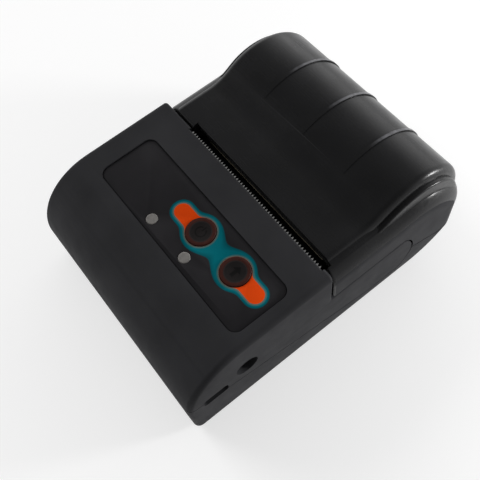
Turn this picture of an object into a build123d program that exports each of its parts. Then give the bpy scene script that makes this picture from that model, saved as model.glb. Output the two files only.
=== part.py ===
from build123d import *

import os
from math import acos, asin, atan2, cos, degrees, hypot, radians, sin, sqrt

# Portable receipt printer with a hinged paper cover.
# The origin is on the surface it stands on, under its middle. +Y runs to the rear, where the
# cover is hinged, +X to the side with the sockets, and +Z up. Sizes are in millimetres.

# Casing
BODY_WIDTH = 77.0
BODY_LENGTH = 103.0
FOOT_HEIGHT = 0.6
WALL = 1.8
BOTTOM_ROUND = 2.5
REAR_ROUND = 6.0
CREASE_R = 1.8
SEAM_GAP = 0.3
COVER_GAP = 0.5
FRONT_ROLL_SHARE = 0.416

# Paper roll, with what lies round it and between it and the tear edge
ROLL_BAY_R = 18.4
WELL_WALL = 1.0
DOME_CLEARANCE = 2.2
BASE_STEP = 0.6
TOP_RISE = 15.0
WELL_TO_PLATEN = 4.65
PLATEN_TO_TEAR = 7.6
SLOT_DEPTH = 2.0
SLOT_SETBACK = 0.75
SLOT_LIP_R = 0.6
SEAM_CORNER_R = 0.9
SLOT_LEFT_INSET = 14.0
SLOT_RIGHT_INSET = 4.0
SLOT_CLEARANCE = 0.4
CHEEK_WALL = 1.2
THIN_CHEEK_WALL = 0.6

# Lines where the casing parts meet, seen from the side
SEAM_FRONT_RISE = 19.2
SEAM_LOW_RISE = 4.4
SEAM_LOW_LEAD = 16.65
SKIRT_DEPTH = 14.3
TONGUE_LEAD = 11.35
TONGUE_BULGE = 1.257
EAR_START_ANGLE = -3.0

# Paper cover
COVER_WALL = 1.7
COVER_EDGE_R = 7.0
SHOULDER_EXTRA = 4.4
SHOULDER_LEAD = 1.45
REAR_CORNER_R = 9.0
DOME_INSET = 4.1
DOME_END_R = 2.5
DOME_BLEND_R = 14.0
SHOULDER_SINK = 0.5
COLLAR_STEP = 2.6
COLLAR_DROP = 2.2
COLLAR_WIDTH = 1.5
COLLAR_EDGE_R = 0.6
RIDGE_COUNT = 3
RIDGE_WIDTH = 1.0
RIDGE_RISE = 0.25
LIP_DROP = 1.8

# Cover hinge
BARREL_R = 6.5
HINGE_DROP = 7.2
HINGE_PIN_R = 1.25
HINGE_PIN_LENGTH = 2.6
HINGE_HUB_R = 2.7
HINGE_ARM_WIDTH = 3.4
HINGE_ARM_THICKNESS = 1.3
HINGE_FIT = 0.06
KNEE_LEAD = 3.35
KNEE_RISE = 3.8
ARM_FOOT_LENGTH = 12.0

# Control panel
PANEL_LEFT_INSET = 8.3
PANEL_RIGHT_INSET = 4.1
PANEL_FRONT_SHARE = 0.405
PANEL_REAR_SHARE = 0.783
PANEL_CORNER_R = 3.0
PANEL_RECESS = 0.8
OVERLAY_THICKNESS = 0.4
BUTTON_R = 4.3
BUTTON_SHARE = 0.63
POWER_BUTTON_SHARE = 0.0433
FEED_BUTTON_SHARE = 0.284
BUTTON_TRAVEL = 0.5
BUTTON_RISE = 0.35
BUTTON_FLANGE = 0.6
BUTTON_FLANGE_HEIGHT = 0.8
BUTTON_DISH_R = 22.0
BUTTON_DISH = 0.3
BUTTON_EDGE_R = 0.25
BUTTON_STEM_R = 1.6
LED_R = 1.75
LED_SHARE = 0.471
POWER_LED_SHARE = -0.1461
STATUS_LED_SHARE = 0.0947
LENS_RISE = 0.1
LENS_EDGE_R = 0.3
LENS_FOOT = 0.3
LENS_FOOT_HEIGHT = 0.9
LED_LENGTH = 3.2
LED_WIDTH = 2.8
LED_HEIGHT = 1.2
SWITCH_SIZE = 6.0
SWITCH_HEIGHT = 3.5
PLUNGER_R = 1.7
PLUNGER_RISE = 0.8
PLUNGER_DEPTH = 0.6
KEY_BOARD_DROP = 9.2
KEY_BOARD_THICKNESS = 1.2
KEY_BOARD_MARGIN = 2.3
KEY_POST_R = 1.8
KEY_POST_LEFT = 14.5
KEY_POST_MIDDLE = 10.5
KEY_POST_RIGHT = 13.3
KEY_POST_REAR = 4.5

# Tear blade
BLADE_THICKNESS = 0.5
BLADE_DROP = 1.0
BLADE_DEPTH = 4.4
BLADE_STAKE_INSET = 2.5
BLADE_POCKET = 0.6
TOOTH_PITCH = 1.02
TOOTH_WIDTH = 0.75
TOOTH_LENGTH = 0.8
STAKE_R = 0.8

# Print mechanism
PLATEN_DEPTH = 7.8
PLATEN_R = 4.5
PLATEN_END_GAP = 1.5
SHAFT_R = 1.5
BUSH_R = 2.5
BUSH_SHOULDER = 0.7
BUSH_FLANGE = 0.4
HOLDER_ARM = 1.2
HOLDER_GAP = 0.3
HOLDER_BAR_WIDTH = 2.8
HOLDER_BAR_HEIGHT = 2.2
HOLDER_SCREW_INSET = 9.0
HOLDER_BOSS = 1.5
HOLDER_BOSS_R = 2.2
CHASSIS_PLATE = 1.1
CHASSIS_WALL = 1.2
CHASSIS_FRONT_LEAD = 14.8
CHASSIS_TOP_RISE = 2.8
CHASSIS_WALL_DROP = 8.0
CHASSIS_FOOT_LENGTH = 5.0
CHASSIS_REAR_GAP = 0.85
BUSH_MOUTH_FIT = 0.35
PLATEN_TEETH = 20
SMALL_TEETH = 16
LARGE_TEETH = 36
PINION_TEETH = 12
GEAR_WIDTH = 2.4
GEAR_STEP = 0.6
GEAR_STANDOFF = 5.2
AXLE_R = 1.0
MOTOR_R = 7.5
MOTOR_LENGTH = 17.0
MOTOR_SHAFT_R = 0.75
MOTOR_PILOT_R = 2.4
MOTOR_LIP = 0.8
MOTOR_DEPTH = 9.0
MOTOR_BEARING_ANGLE = 240.0
MOTOR_FLOOR_GAP = 0.3
HEAD_PIVOT_DROP = 9.0
HEAD_PIN_R = 1.0
HEAD_LUG_R = 2.0
HEAD_LUG_WIDTH = 3.0
HEAD_CHIP = 0.4
HEAD_CHIP_HEIGHT = 7.0
HEAD_PLATE = 2.0
HEAD_TOP_RISE = 2.6
HEAD_INSET = 0.5
SPRING_DROP = 0.5
SPRING_INSET = 14.0
SPRING_R = 1.9
SPRING_WIRE_R = 0.25
SPRING_COILS = 5
SPRING_GAP = 0.6

# Screws and bosses
SCREW_R = 1.0
SCREW_LENGTH = 8.0
MECH_SCREW_LENGTH = 5.0
SCREW_HEAD_R = 1.8
SCREW_HEAD_HEIGHT = 1.2
SCREW_HEAD_FIT = 0.25
SMALL_SCREW_R = 0.8
SMALL_SCREW_LENGTH = 4.0
SMALL_HEAD_R = 1.5
SMALL_HEAD_HEIGHT = 1.0
BOSS_R = 2.8
BOSS_BITE = 3.8
BOARD_POST_R = 1.9
FRONT_BOSS_RISE = 0.8
WELL_BOSS_RISE = 4.8
MECH_FOOT_RISE = 3.6
SCREW_INSET = 4.9
WELL_SCREW_INSET = 7.5
LEFT_BOSS_LEAD = 14.45
RIGHT_BOSS_LEAD = 16.85
MECH_SCREW_INSET = 6.0
MECH_SCREW_LEAD = 1.4
BOARD_SCREW_INSET = 8.3
RIGHT_BOARD_SCREW_INSET = 7.3
FOOT_R = 2.8
FOOT_RECESS = 0.5
REAR_FOOT_INSET = 8.0
REAR_FOOT_LEAD = 5.65

# Electronics
BOARD_THICKNESS = 1.6
BOARD_RISE = 1.0
BOARD_INSET = 6.1
BOARD_SIDE_GAP = 0.5
BOARD_FRONT_SHARE = 0.081
BOARD_REAR_SHARE = 0.765
DC_JACK_SHARE = 0.4
DC_JACK_RISE = 6.2
DC_JACK_LENGTH = 11.0
DC_JACK_WIDTH = 9.0
DC_JACK_HEIGHT = 10.8
DC_BORE_R = 3.1
DC_BORE_DEPTH = 9.0
DC_PIN_R = 1.0
USB_SHARE = 0.182
USB_RISE = 2.0
USB_WIDTH = 7.6
USB_HEIGHT = 3.0
USB_CLEARANCE = 0.35
USB_LENGTH = 9.0
USB_WALL = 0.4
USB_CORNER_R = 0.8
RADIO_INSET = 10.3
RADIO_WIDTH = 13.0
RIBBON_WIDTH = 18.0
RIBBON_THICKNESS = 0.3
RIBBON_BEND_R = 2.5
CONNECTOR_DEPTH = 3.3
CONNECTOR_HEIGHT = 2.0
CHIP_SIZE = 10.0
CHIP_HEIGHT = 1.4
CAPACITOR_R = 2.5
CAPACITOR_HEIGHT = 7.0
CAPACITOR_INSET = 16.5
SENSOR_WIDTH = 4.0
SENSOR_DEPTH = 2.2
SENSOR_HEIGHT = 2.6

# Battery and its sliding door
BATTERY_INSET = 11.5
BATTERY_HEIGHT = 11.0
BATTERY_EDGE_R = 2.0
BATTERY_FRONT_SHARE = 0.101
BATTERY_REAR_SHARE = 0.725
BAY_GAP = 0.6
BAY_WALL = 1.0
DOOR_THICKNESS = 1.5
DOOR_LEDGE = 2.0
DOOR_TONGUE = 1.4
DOOR_LIP = 0.7
DOOR_END = 0.8
RAIL_HEIGHT = 2.0
RAIL_WIDTH = 1.6
GRIP_COUNT = 4
GRIP_WIDTH = 14.0
GRIP_PITCH = 1.8
GRIP_LEAD = 8.0
GRIP_DEPTH = 0.4
CONTACT_PITCH = 4.5
CONTACT_WIDTH = 2.0
CONTACT_THICKNESS = 0.3

# Clearances
RUNNING_FIT = 0.05
SLIDE_FIT = 0.15
PART_GAP = 0.2
OVERCUT = 1.0

# Places from side to side
HALF_WIDTH = BODY_WIDTH / 2
INNER_X = HALF_WIDTH - WALL
COVER_INNER_X = HALF_WIDTH - COVER_WALL
DOME_HALF = HALF_WIDTH - DOME_INSET
SLOT_LEFT = -HALF_WIDTH + SLOT_LEFT_INSET
SLOT_RIGHT = HALF_WIDTH - SLOT_RIGHT_INSET
SLOT_WIDTH = SLOT_RIGHT - SLOT_LEFT
SLOT_CENTRE_X = (SLOT_LEFT + SLOT_RIGHT) / 2
PANEL_WIDTH = BODY_WIDTH - PANEL_LEFT_INSET - PANEL_RIGHT_INSET
PANEL_X = (PANEL_LEFT_INSET - PANEL_RIGHT_INSET) / 2
POWER_BUTTON_X = PANEL_X + PANEL_WIDTH * POWER_BUTTON_SHARE
FEED_BUTTON_X = PANEL_X + PANEL_WIDTH * FEED_BUTTON_SHARE
POWER_LED_X = PANEL_X + PANEL_WIDTH * POWER_LED_SHARE
STATUS_LED_X = PANEL_X + PANEL_WIDTH * STATUS_LED_SHARE
ARM_OUTER_X = INNER_X - PART_GAP
ARM_INNER_X = ARM_OUTER_X - HINGE_ARM_THICKNESS
PLATEN_LEFT = SLOT_LEFT + PLATEN_END_GAP
PLATEN_RIGHT = SLOT_RIGHT - PLATEN_END_GAP
LEFT_ARM_X = (PLATEN_LEFT - HOLDER_GAP - HOLDER_ARM, PLATEN_LEFT - HOLDER_GAP)
RIGHT_ARM_X = (PLATEN_RIGHT + HOLDER_GAP, PLATEN_RIGHT + HOLDER_GAP + HOLDER_ARM)
LEFT_PLATE_X = (LEFT_ARM_X[0] - BUSH_FLANGE - PART_GAP - CHASSIS_PLATE,
                LEFT_ARM_X[0] - BUSH_FLANGE - PART_GAP)
RIGHT_PLATE_X = (RIGHT_ARM_X[1] + BUSH_FLANGE + PART_GAP,
                 RIGHT_ARM_X[1] + BUSH_FLANGE + PART_GAP + CHASSIS_PLATE)
SMALL_GEAR_X = (LEFT_PLATE_X[0] - GEAR_STANDOFF, LEFT_PLATE_X[0] - GEAR_STANDOFF + GEAR_WIDTH)
LARGE_GEAR_X = (SMALL_GEAR_X[0] - GEAR_STEP - GEAR_WIDTH, SMALL_GEAR_X[0] - GEAR_STEP)
HEAD_X = (PLATEN_LEFT + HEAD_INSET, PLATEN_RIGHT - HEAD_INSET)
RIBBON_X = (SLOT_CENTRE_X - WALL, SLOT_CENTRE_X - WALL + RIBBON_WIDTH)
CHEEK_LEFT_X = (SLOT_LEFT - CHEEK_WALL, SLOT_LEFT)
CHEEK_RIGHT_X = (SLOT_RIGHT, SLOT_RIGHT + THIN_CHEEK_WALL)
BATTERY_HALF = HALF_WIDTH - BATTERY_INSET
BAY_HALF = BATTERY_HALF + BAY_GAP
DOOR_HALF = BATTERY_HALF + DOOR_LEDGE

# Heights
BOTTOM_Z = FOOT_HEIGHT
FLOOR_Z = BOTTOM_Z + WALL
DOME_R = ROLL_BAY_R + DOME_CLEARANCE
BASE_REAR_R = DOME_R + BASE_STEP
DOME_Z = BOTTOM_Z + BASE_REAR_R
TOP_Z = DOME_Z + TOP_RISE
ROOF_Z = TOP_Z - WALL
COVER_ROOF_Z = TOP_Z - COVER_WALL
OVERLAY_Z = TOP_Z - PANEL_RECESS
BUTTON_TOP_Z = OVERLAY_Z + OVERLAY_THICKNESS + BUTTON_RISE
KEY_BOARD_TOP_Z = TOP_Z - KEY_BOARD_DROP
SWITCH_TOP_Z = KEY_BOARD_TOP_Z + SWITCH_HEIGHT
PLUNGER_TOP_Z = SWITCH_TOP_Z + PLUNGER_RISE
BLADE_TOP_Z = TOP_Z - BLADE_DROP
PLATEN_Z = TOP_Z - PLATEN_DEPTH
HOLDER_TOP_Z = COVER_ROOF_Z - HOLDER_BOSS
CHASSIS_TOP_Z = PLATEN_Z + CHASSIS_TOP_RISE
HEAD_PIVOT_Z = PLATEN_Z - HEAD_PIVOT_DROP
HEAD_TOP_Z = PLATEN_Z + HEAD_TOP_RISE
SPRING_Z = PLATEN_Z - SPRING_DROP
HINGE_Z = DOME_Z - HINGE_DROP
SKIRT_Z = TOP_Z - SKIRT_DEPTH
SEAM_FRONT_Z = BOTTOM_Z + SEAM_FRONT_RISE
SEAM_LOW_Z = BOTTOM_Z + SEAM_LOW_RISE
DECK_TOP_Z = DOME_Z - WELL_WALL / 2
DOOR_TOP_Z = BOTTOM_Z + DOOR_THICKNESS
DOOR_TONGUE_Z = BOTTOM_Z + DOOR_LIP
RAIL_TOP_Z = DOOR_TOP_Z + RAIL_HEIGHT
BATTERY_Z = DOOR_TOP_Z + COVER_GAP
BOARD_Z = BATTERY_Z + BATTERY_HEIGHT + BOARD_RISE
BOARD_TOP_Z = BOARD_Z + BOARD_THICKNESS
FRONT_BOSS_TOP = BOARD_TOP_Z + FRONT_BOSS_RISE
WELL_BOSS_TOP = FLOOR_Z + WELL_BOSS_RISE
MECH_FOOT_Z = FLOOR_Z + MECH_FOOT_RISE

# Places from front to rear: the cover and the mechanism are set out from the rear, and the
# panel and the electronics share what is left in front of the tear edge.
FRONT_Y = -BODY_LENGTH / 2
REAR_Y = BODY_LENGTH / 2
COVER_REAR_Y = REAR_Y - RIDGE_RISE
DOME_Y = COVER_REAR_Y - DOME_R
DOME = (DOME_Y, DOME_Z)
HINGE_Y = COVER_REAR_Y - BARREL_R
HINGE = (HINGE_Y, HINGE_Z)
WELL_FRONT_Y = DOME_Y - ROLL_BAY_R - WELL_WALL
PLATEN_Y = WELL_FRONT_Y - WELL_TO_PLATEN
PLATEN = (PLATEN_Y, PLATEN_Z)
COVER_FRONT_Y = PLATEN_Y - PLATEN_TO_TEAR
HOUSING_REAR_Y = COVER_FRONT_Y - COVER_GAP / 2
SLOT_REAR_Y = COVER_FRONT_Y + SLOT_DEPTH
TOOTH_ROOT_Y = HOUSING_REAR_Y - SLOT_SETBACK
SHOULDER_R = DOME_R + SHOULDER_EXTRA
SHOULDER_Y = DOME_Y - SHOULDER_LEAD
SEAM_LOW_Y = DOME_Y - SEAM_LOW_LEAD
TONGUE_R = TONGUE_BULGE * (SKIRT_Z - SEAM_LOW_Z) / 2
TONGUE = (DOME_Y - TONGUE_LEAD, (SKIRT_Z + SEAM_LOW_Z) / 2)
CHASSIS_FRONT_Y = PLATEN_Y - CHASSIS_FRONT_LEAD
CHASSIS_REAR_Y = WELL_FRONT_Y - CHASSIS_REAR_GAP
HEAD_FACE_Y = PLATEN_Y - PLATEN_R - HOLDER_GAP
HEAD_PLATE_Y = HEAD_FACE_Y - HEAD_CHIP - HEAD_PLATE
HEAD_PIVOT = (HEAD_PLATE_Y + HEAD_PLATE / 2, HEAD_PIVOT_Z)
KNEE = (DOME_Y + KNEE_LEAD, HINGE_Z + KNEE_RISE)
FRONT_SPAN = COVER_FRONT_Y - FRONT_Y
FRONT_ROLL_R = FRONT_ROLL_SHARE * FRONT_SPAN


def ahead(share):
    """Y at a share of the way from the front to the tear edge."""
    return FRONT_Y + share * FRONT_SPAN


PANEL_Y = ahead((PANEL_FRONT_SHARE + PANEL_REAR_SHARE) / 2)
PANEL_DEPTH = ahead(PANEL_REAR_SHARE) - ahead(PANEL_FRONT_SHARE)
BUTTON_Y = ahead(BUTTON_SHARE)
LED_Y = ahead(LED_SHARE)
DC_JACK_Y = ahead(DC_JACK_SHARE)
USB_Y = ahead(USB_SHARE)
BOARD_REAR_Y = ahead(BOARD_REAR_SHARE)
BATTERY_FRONT_Y = ahead(BATTERY_FRONT_SHARE)
BATTERY_REAR_Y = ahead(BATTERY_REAR_SHARE)
BAY_FRONT_Y = BATTERY_FRONT_Y - BAY_GAP
BAY_REAR_Y = BATTERY_REAR_Y + BAY_GAP
DOOR_REAR_Y = BAY_REAR_Y + DOOR_END
CONNECTOR_Y = (BOARD_REAR_Y - CONNECTOR_DEPTH, BOARD_REAR_Y - RUNNING_FIT)
FAR = 2 * BODY_LENGTH

# Screws and feet: X, Y and, for the case screws, the height where the two bosses meet
CASE_SCREWS = [
    (-HALF_WIDTH + SCREW_INSET, ahead(0.148), FRONT_BOSS_TOP),
    (HALF_WIDTH - SCREW_INSET, ahead(0.594), FRONT_BOSS_TOP),
    (-HALF_WIDTH + WELL_SCREW_INSET, DOME_Y - LEFT_BOSS_LEAD, WELL_BOSS_TOP),
    (HALF_WIDTH - WELL_SCREW_INSET, DOME_Y - RIGHT_BOSS_LEAD, WELL_BOSS_TOP)]
MECH_SCREWS = [
    (PLATEN_LEFT + MECH_SCREW_INSET, PLATEN_Y + MECH_SCREW_LEAD),
    (PLATEN_RIGHT - MECH_SCREW_INSET, PLATEN_Y + MECH_SCREW_LEAD)]
BOARD_SCREWS = [
    (-HALF_WIDTH + BOARD_SCREW_INSET, ahead(0.307)),
    (-HALF_WIDTH + BOARD_SCREW_INSET, ahead(0.711)),
    (HALF_WIDTH - RIGHT_BOARD_SCREW_INSET, ahead(0.711))]
KEY_POSTS = [
    (PANEL_X - KEY_POST_LEFT, BUTTON_Y + KEY_POST_REAR), (PANEL_X - KEY_POST_LEFT, LED_Y),
    (PANEL_X + KEY_POST_MIDDLE, BUTTON_Y + KEY_POST_REAR), (PANEL_X + KEY_POST_RIGHT, LED_Y)]
HOLDER_SCREWS = [
    (PLATEN_LEFT + HOLDER_SCREW_INSET, PLATEN_Y + PLATEN_R + HOLDER_BAR_WIDTH / 2 + HEAD_INSET),
    (PLATEN_RIGHT - HOLDER_SCREW_INSET, PLATEN_Y + PLATEN_R + HOLDER_BAR_WIDTH / 2 + HEAD_INSET)]
FEET = [
    (-HALF_WIDTH + SCREW_INSET, ahead(0.346)), (HALF_WIDTH - SCREW_INSET, ahead(0.346)),
    (-HALF_WIDTH + REAR_FOOT_INSET, DOME_Y - REAR_FOOT_LEAD),
    (HALF_WIDTH - REAR_FOOT_INSET, DOME_Y - REAR_FOOT_LEAD)]


def polar(centre, radius, angle):
    """Point at an angle in degrees on a circle seen from the side."""
    return (centre[0] + radius * cos(radians(angle)), centre[1] + radius * sin(radians(angle)))


def arc(centre, radius, start, end):
    """Arc of a circle between two angles in degrees."""
    middle = (start + end) / 2
    return ThreePointArc(polar(centre, radius, start), polar(centre, radius, middle),
                         polar(centre, radius, end))


def outline(*edges):
    """Closed side view through its edges, joined by straight lines where they don't meet."""
    closed = []
    for index, edge in enumerate(edges):
        closed.append(edge)
        tail = edge @ 1
        head = edges[(index + 1) % len(edges)] @ 0
        if (tail - head).length > 1e-6:
            closed.append(Line(tail, head))
    return make_face(closed)


def polygon(*points):
    """Closed side view with straight sides."""
    return make_face(Polyline(*points, close=True))


def disc(centre, radius):
    """Round side view."""
    return Pos(*tuple(centre)[:2]) * Circle(radius)


def prism(face, x_low, x_high):
    """Side view drawn in Y and Z, stretched from one X to another."""
    return extrude(Plane.YZ.offset(x_low) * face, amount=x_high - x_low)


def rod(centre, radius, x_low, x_high):
    """Cylinder along X."""
    return Pos((x_low + x_high) / 2, *centre) * Rot(0, 90, 0) * Cylinder(radius, x_high - x_low)


def post(x, y, radius, z_low, z_high):
    """Upright cylinder."""
    return Pos(x, y, (z_low + z_high) / 2) * Cylinder(radius, z_high - z_low)


def block(x_low, x_high, y_low, y_high, z_low, z_high):
    """Box between its limits."""
    centre = Pos((x_low + x_high) / 2, (y_low + y_high) / 2, (z_low + z_high) / 2)
    return centre * Box(x_high - x_low, y_high - y_low, z_high - z_low)


def plate(x, y, width, depth, corner, z_low, z_high):
    """Flat plate with rounded corners."""
    face = Pos(x, y, z_low) * RectangleRounded(width, depth, corner)
    return extrude(face, amount=z_high - z_low)


def towards(start, end, distance):
    """Point at a distance from start on the way to end."""
    length = hypot(end[0] - start[0], end[1] - start[1])
    return (start[0] + (end[0] - start[0]) * distance / length,
            start[1] + (end[1] - start[1]) * distance / length)


def bearing(start, end):
    """Angle in degrees of the line from start to end."""
    return degrees(atan2(end[1] - start[1], end[0] - start[0]))


def single(shape):
    """The one solid that a set of operations leaves."""
    solids = shape.solids()
    return max(solids, key=lambda solid: solid.volume)


def strip(path, width):
    """Strip of even width along joined edges, seen from the side."""
    face = trace(path[0], width)
    for edge in path[1:]:
        face += trace(edge, width)
        face += disc(edge @ 0, width / 2)
    return face


# Side views that several pieces share

def casing_outline(inset=0.0):
    """Outline of the lower casing and the front of the upper one, or a wall inside it."""
    front = FRONT_Y + inset
    bottom = BOTTOM_Z + inset
    top = TOP_Z - inset
    roll = (FRONT_Y + FRONT_ROLL_R, TOP_Z - FRONT_ROLL_R)
    corner = max(BOTTOM_ROUND - inset, WALL / 3)
    rear = DOME_Y + BASE_REAR_R - inset
    back = (rear - REAR_ROUND, top - REAR_ROUND)
    return outline(
        Line((front + corner, bottom), (DOME_Y, bottom)),
        arc(DOME, BASE_REAR_R - inset, -90, 0),
        arc(back, REAR_ROUND, 0, 90),
        arc(roll, FRONT_ROLL_R - inset, 90, 180),
        arc((front + corner, bottom + corner), corner, 180, 270))


def seam_z(y):
    """Height of the sloping seam between the casing halves."""
    slope = (SEAM_LOW_Z - SEAM_FRONT_Z) / (SEAM_LOW_Y - FRONT_Y)
    return SEAM_FRONT_Z + slope * (y - FRONT_Y)


TONGUE_ANGLE = degrees(asin(1 / TONGUE_BULGE))
TONGUE_TOP = polar(TONGUE, TONGUE_R, TONGUE_ANGLE)
TONGUE_LOW = polar(TONGUE, TONGUE_R, -TONGUE_ANGLE)
EAR_START = polar(TONGUE, TONGUE_R, EAR_START_ANGLE)
EAR_SEAM_R = BARREL_R + COVER_GAP / 2
EAR_SEAM_ANGLE = bearing(HINGE, EAR_START) % 360 - 360 + degrees(
    acos(EAR_SEAM_R / hypot(HINGE_Y - EAR_START[0], HINGE_Z - EAR_START[1])))


def housing_region():
    """Side view of what belongs to the upper casing: its front and the rails beside the bay."""
    return outline(
        Line((-FAR, FAR), (COVER_FRONT_Y, FAR)),
        Line((COVER_FRONT_Y, SKIRT_Z), TONGUE_TOP),
        arc(TONGUE, TONGUE_R, TONGUE_ANGLE, -TONGUE_ANGLE),
        Line((SEAM_LOW_Y, SEAM_LOW_Z), (-FAR, seam_z(-FAR))))


def cover_region():
    """Side view of what swings with the cover, down to its round hinge ears."""
    return outline(
        Line((COVER_FRONT_Y, FAR), (COVER_FRONT_Y, SKIRT_Z)),
        arc(TONGUE, TONGUE_R, TONGUE_ANGLE, EAR_START_ANGLE),
        arc(HINGE, EAR_SEAM_R, EAR_SEAM_ANGLE, 0),
        Line((FAR, HINGE_Z), (FAR, FAR)))


def base_region():
    """Side view of what belongs to the lower casing."""
    return outline(
        Line((-FAR, -FAR), (FAR, -FAR)),
        Line((FAR, HINGE_Z), polar(HINGE, EAR_SEAM_R, 0)),
        arc(HINGE, EAR_SEAM_R, 0, EAR_SEAM_ANGLE),
        arc(TONGUE, TONGUE_R, EAR_START_ANGLE, -TONGUE_ANGLE),
        Line((SEAM_LOW_Y, SEAM_LOW_Z), (-FAR, seam_z(-FAR))))


def seam_band():
    """Gap between the two casing halves."""
    path = [
        Line((-FAR, seam_z(-FAR)), (SEAM_LOW_Y, SEAM_LOW_Z)),
        Line((SEAM_LOW_Y, SEAM_LOW_Z), TONGUE_LOW),
        arc(TONGUE, TONGUE_R, -TONGUE_ANGLE, EAR_START_ANGLE)]
    return prism(strip(path, SEAM_GAP), -FAR, FAR)


def cover_band():
    """Running gap between the cover and both casing halves."""
    path = [
        Line((COVER_FRONT_Y, FAR), (COVER_FRONT_Y, SKIRT_Z)),
        Line((COVER_FRONT_Y, SKIRT_Z), TONGUE_TOP),
        arc(TONGUE, TONGUE_R, TONGUE_ANGLE, EAR_START_ANGLE),
        Line(EAR_START, polar(HINGE, EAR_SEAM_R, EAR_SEAM_ANGLE)),
        arc(HINGE, EAR_SEAM_R, EAR_SEAM_ANGLE, 0)]
    return prism(strip(path, COVER_GAP), -FAR, FAR)


def side_edges(solid):
    """Edges of the two side faces."""
    return solid.faces().filter_by(Axis.X).sort_by(Axis.X)[0].edges() + \
        solid.faces().filter_by(Axis.X).sort_by(Axis.X)[-1].edges()


CASING = prism(casing_outline(), -HALF_WIDTH, HALF_WIDTH)
CASING = fillet(side_edges(CASING), CREASE_R)
CASING_SPACE = prism(casing_outline(WALL), -INNER_X, INNER_X)
SEAM_BAND = seam_band()
COVER_BAND = cover_band()


def seam_corners(solid, y):
    """Outer corner edges at a seam across the casing: down the sides and over to the top."""
    edges = []
    for edge in solid.edges():
        box = edge.bounding_box()
        on_seam = abs(box.min.Y - y) < 0.01 and abs(box.max.Y - y) < 0.01
        outside = max(-box.min.X, box.max.X) > HALF_WIDTH - WALL / 2
        if on_seam and outside and (box.max.Z > TOP_Z - 0.01 or box.max.X - box.min.X < 0.01):
            edges.append(edge)
    return edges


def slot_lip(y, side):
    """What is cut away to round the top edge at one long side of the paper slot."""
    ends = (SLOT_LEFT - SLOT_CLEARANCE, SLOT_RIGHT + SLOT_CLEARANCE)
    centre = (y + side * SLOT_LIP_R, TOP_Z - SLOT_LIP_R)
    corner = block(*ends, min(y, centre[0]), max(y, centre[0]), centre[1], FAR)
    return corner - rod(centre, SLOT_LIP_R, *ends)


def base_shell():
    """Lower casing: tray with a curved rear, a battery bay, screw bosses and hinge arms."""
    tray = CASING - CASING_SPACE

    reach = BAY_HALF + BAY_WALL + DOOR_TONGUE + RAIL_WIDTH
    rails = block(-reach, reach, FRONT_Y + WALL / 2, DOOR_REAR_Y + BAY_WALL, BOTTOM_Z + WALL / 2,
                  RAIL_TOP_Z)
    bay_walls = block(-BAY_HALF - BAY_WALL, BAY_HALF + BAY_WALL, BAY_FRONT_Y - BAY_WALL,
                      BAY_REAR_Y + BAY_WALL, BOTTOM_Z + WALL / 2, BOARD_Z)
    bay = block(-BAY_HALF, BAY_HALF, BAY_FRONT_Y, BAY_REAR_Y, -FAR, FAR)
    tray += (rails + bay_walls) & CASING
    tray -= bay

    for x, y, top in CASE_SCREWS:
        tray += post(x, y, BOSS_R, BOTTOM_Z + WALL / 2, top)
    for x, y in MECH_SCREWS:
        tray += post(x, y, BOSS_R - SLIDE_FIT, BOTTOM_Z + WALL / 2, MECH_FOOT_Z)
    for x, y in BOARD_SCREWS:
        tray += post(x, y, BOARD_POST_R, BOTTOM_Z + WALL / 2, BOARD_Z)
    for side in (-1, 1):
        tray += hinge_arm(side) & CASING

    for x, y, top in CASE_SCREWS:
        seat = top - BOSS_BITE
        tray -= post(x, y, SCREW_HEAD_R + SCREW_HEAD_FIT, -FAR, seat)
        tray -= post(x, y, SCREW_R + SLIDE_FIT, seat - OVERCUT, top + OVERCUT)
    for x, y in MECH_SCREWS:
        tray -= post(x, y, SCREW_R, MECH_FOOT_Z + CHASSIS_WALL - MECH_SCREW_LENGTH, MECH_FOOT_Z + OVERCUT)
    for x, y in BOARD_SCREWS:
        tray -= post(x, y, SMALL_SCREW_R, BOARD_Z - SMALL_SCREW_LENGTH, BOARD_Z + OVERCUT)
    for x, y in FEET:
        tray -= post(x, y, FOOT_R + PART_GAP / 2, -FAR, BOTTOM_Z + FOOT_RECESS)

    tray -= door_space()
    tray -= usb_window()
    tray = tray & prism(base_region(), -FAR, FAR)
    tray = tray - SEAM_BAND - COVER_BAND
    tray -= rod(HINGE, BARREL_R + COVER_GAP, -INNER_X - SLIDE_FIT, INNER_X + SLIDE_FIT) \
        - prism(arm_outline(), -INNER_X - SLIDE_FIT, INNER_X + SLIDE_FIT)
    for side in (-1, 1):
        tray -= rod(HINGE, HINGE_PIN_R, *span(side, ARM_INNER_X - OVERCUT, ARM_OUTER_X + OVERCUT))
    return single(tray)


def span(side, near, far):
    """Lower and upper X of a piece on the left or right side."""
    return (near, far) if side > 0 else (-far, -near)


def arm_outline():
    """Side view of a hinge arm: a foot on the floor, a beam to the rear and a round hub."""
    front = KNEE[0] - ARM_FOOT_LENGTH
    rear = KNEE[0] + HINGE_ARM_WIDTH / 2
    foot = polygon((front, BOTTOM_Z + WALL / 2), (rear, BOTTOM_Z + WALL / 2),
                   (rear, KNEE[1] + HINGE_ARM_WIDTH / 2), (front, KNEE[1] - HINGE_ARM_WIDTH))
    beam = trace(Line(KNEE, HINGE), HINGE_ARM_WIDTH)
    return foot + beam + disc(HINGE, HINGE_HUB_R)


def hinge_arm(side):
    """Arm of the lower casing that carries one end of the cover's hinge."""
    return prism(arm_outline(), *span(side, ARM_INNER_X, ARM_OUTER_X))


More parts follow.
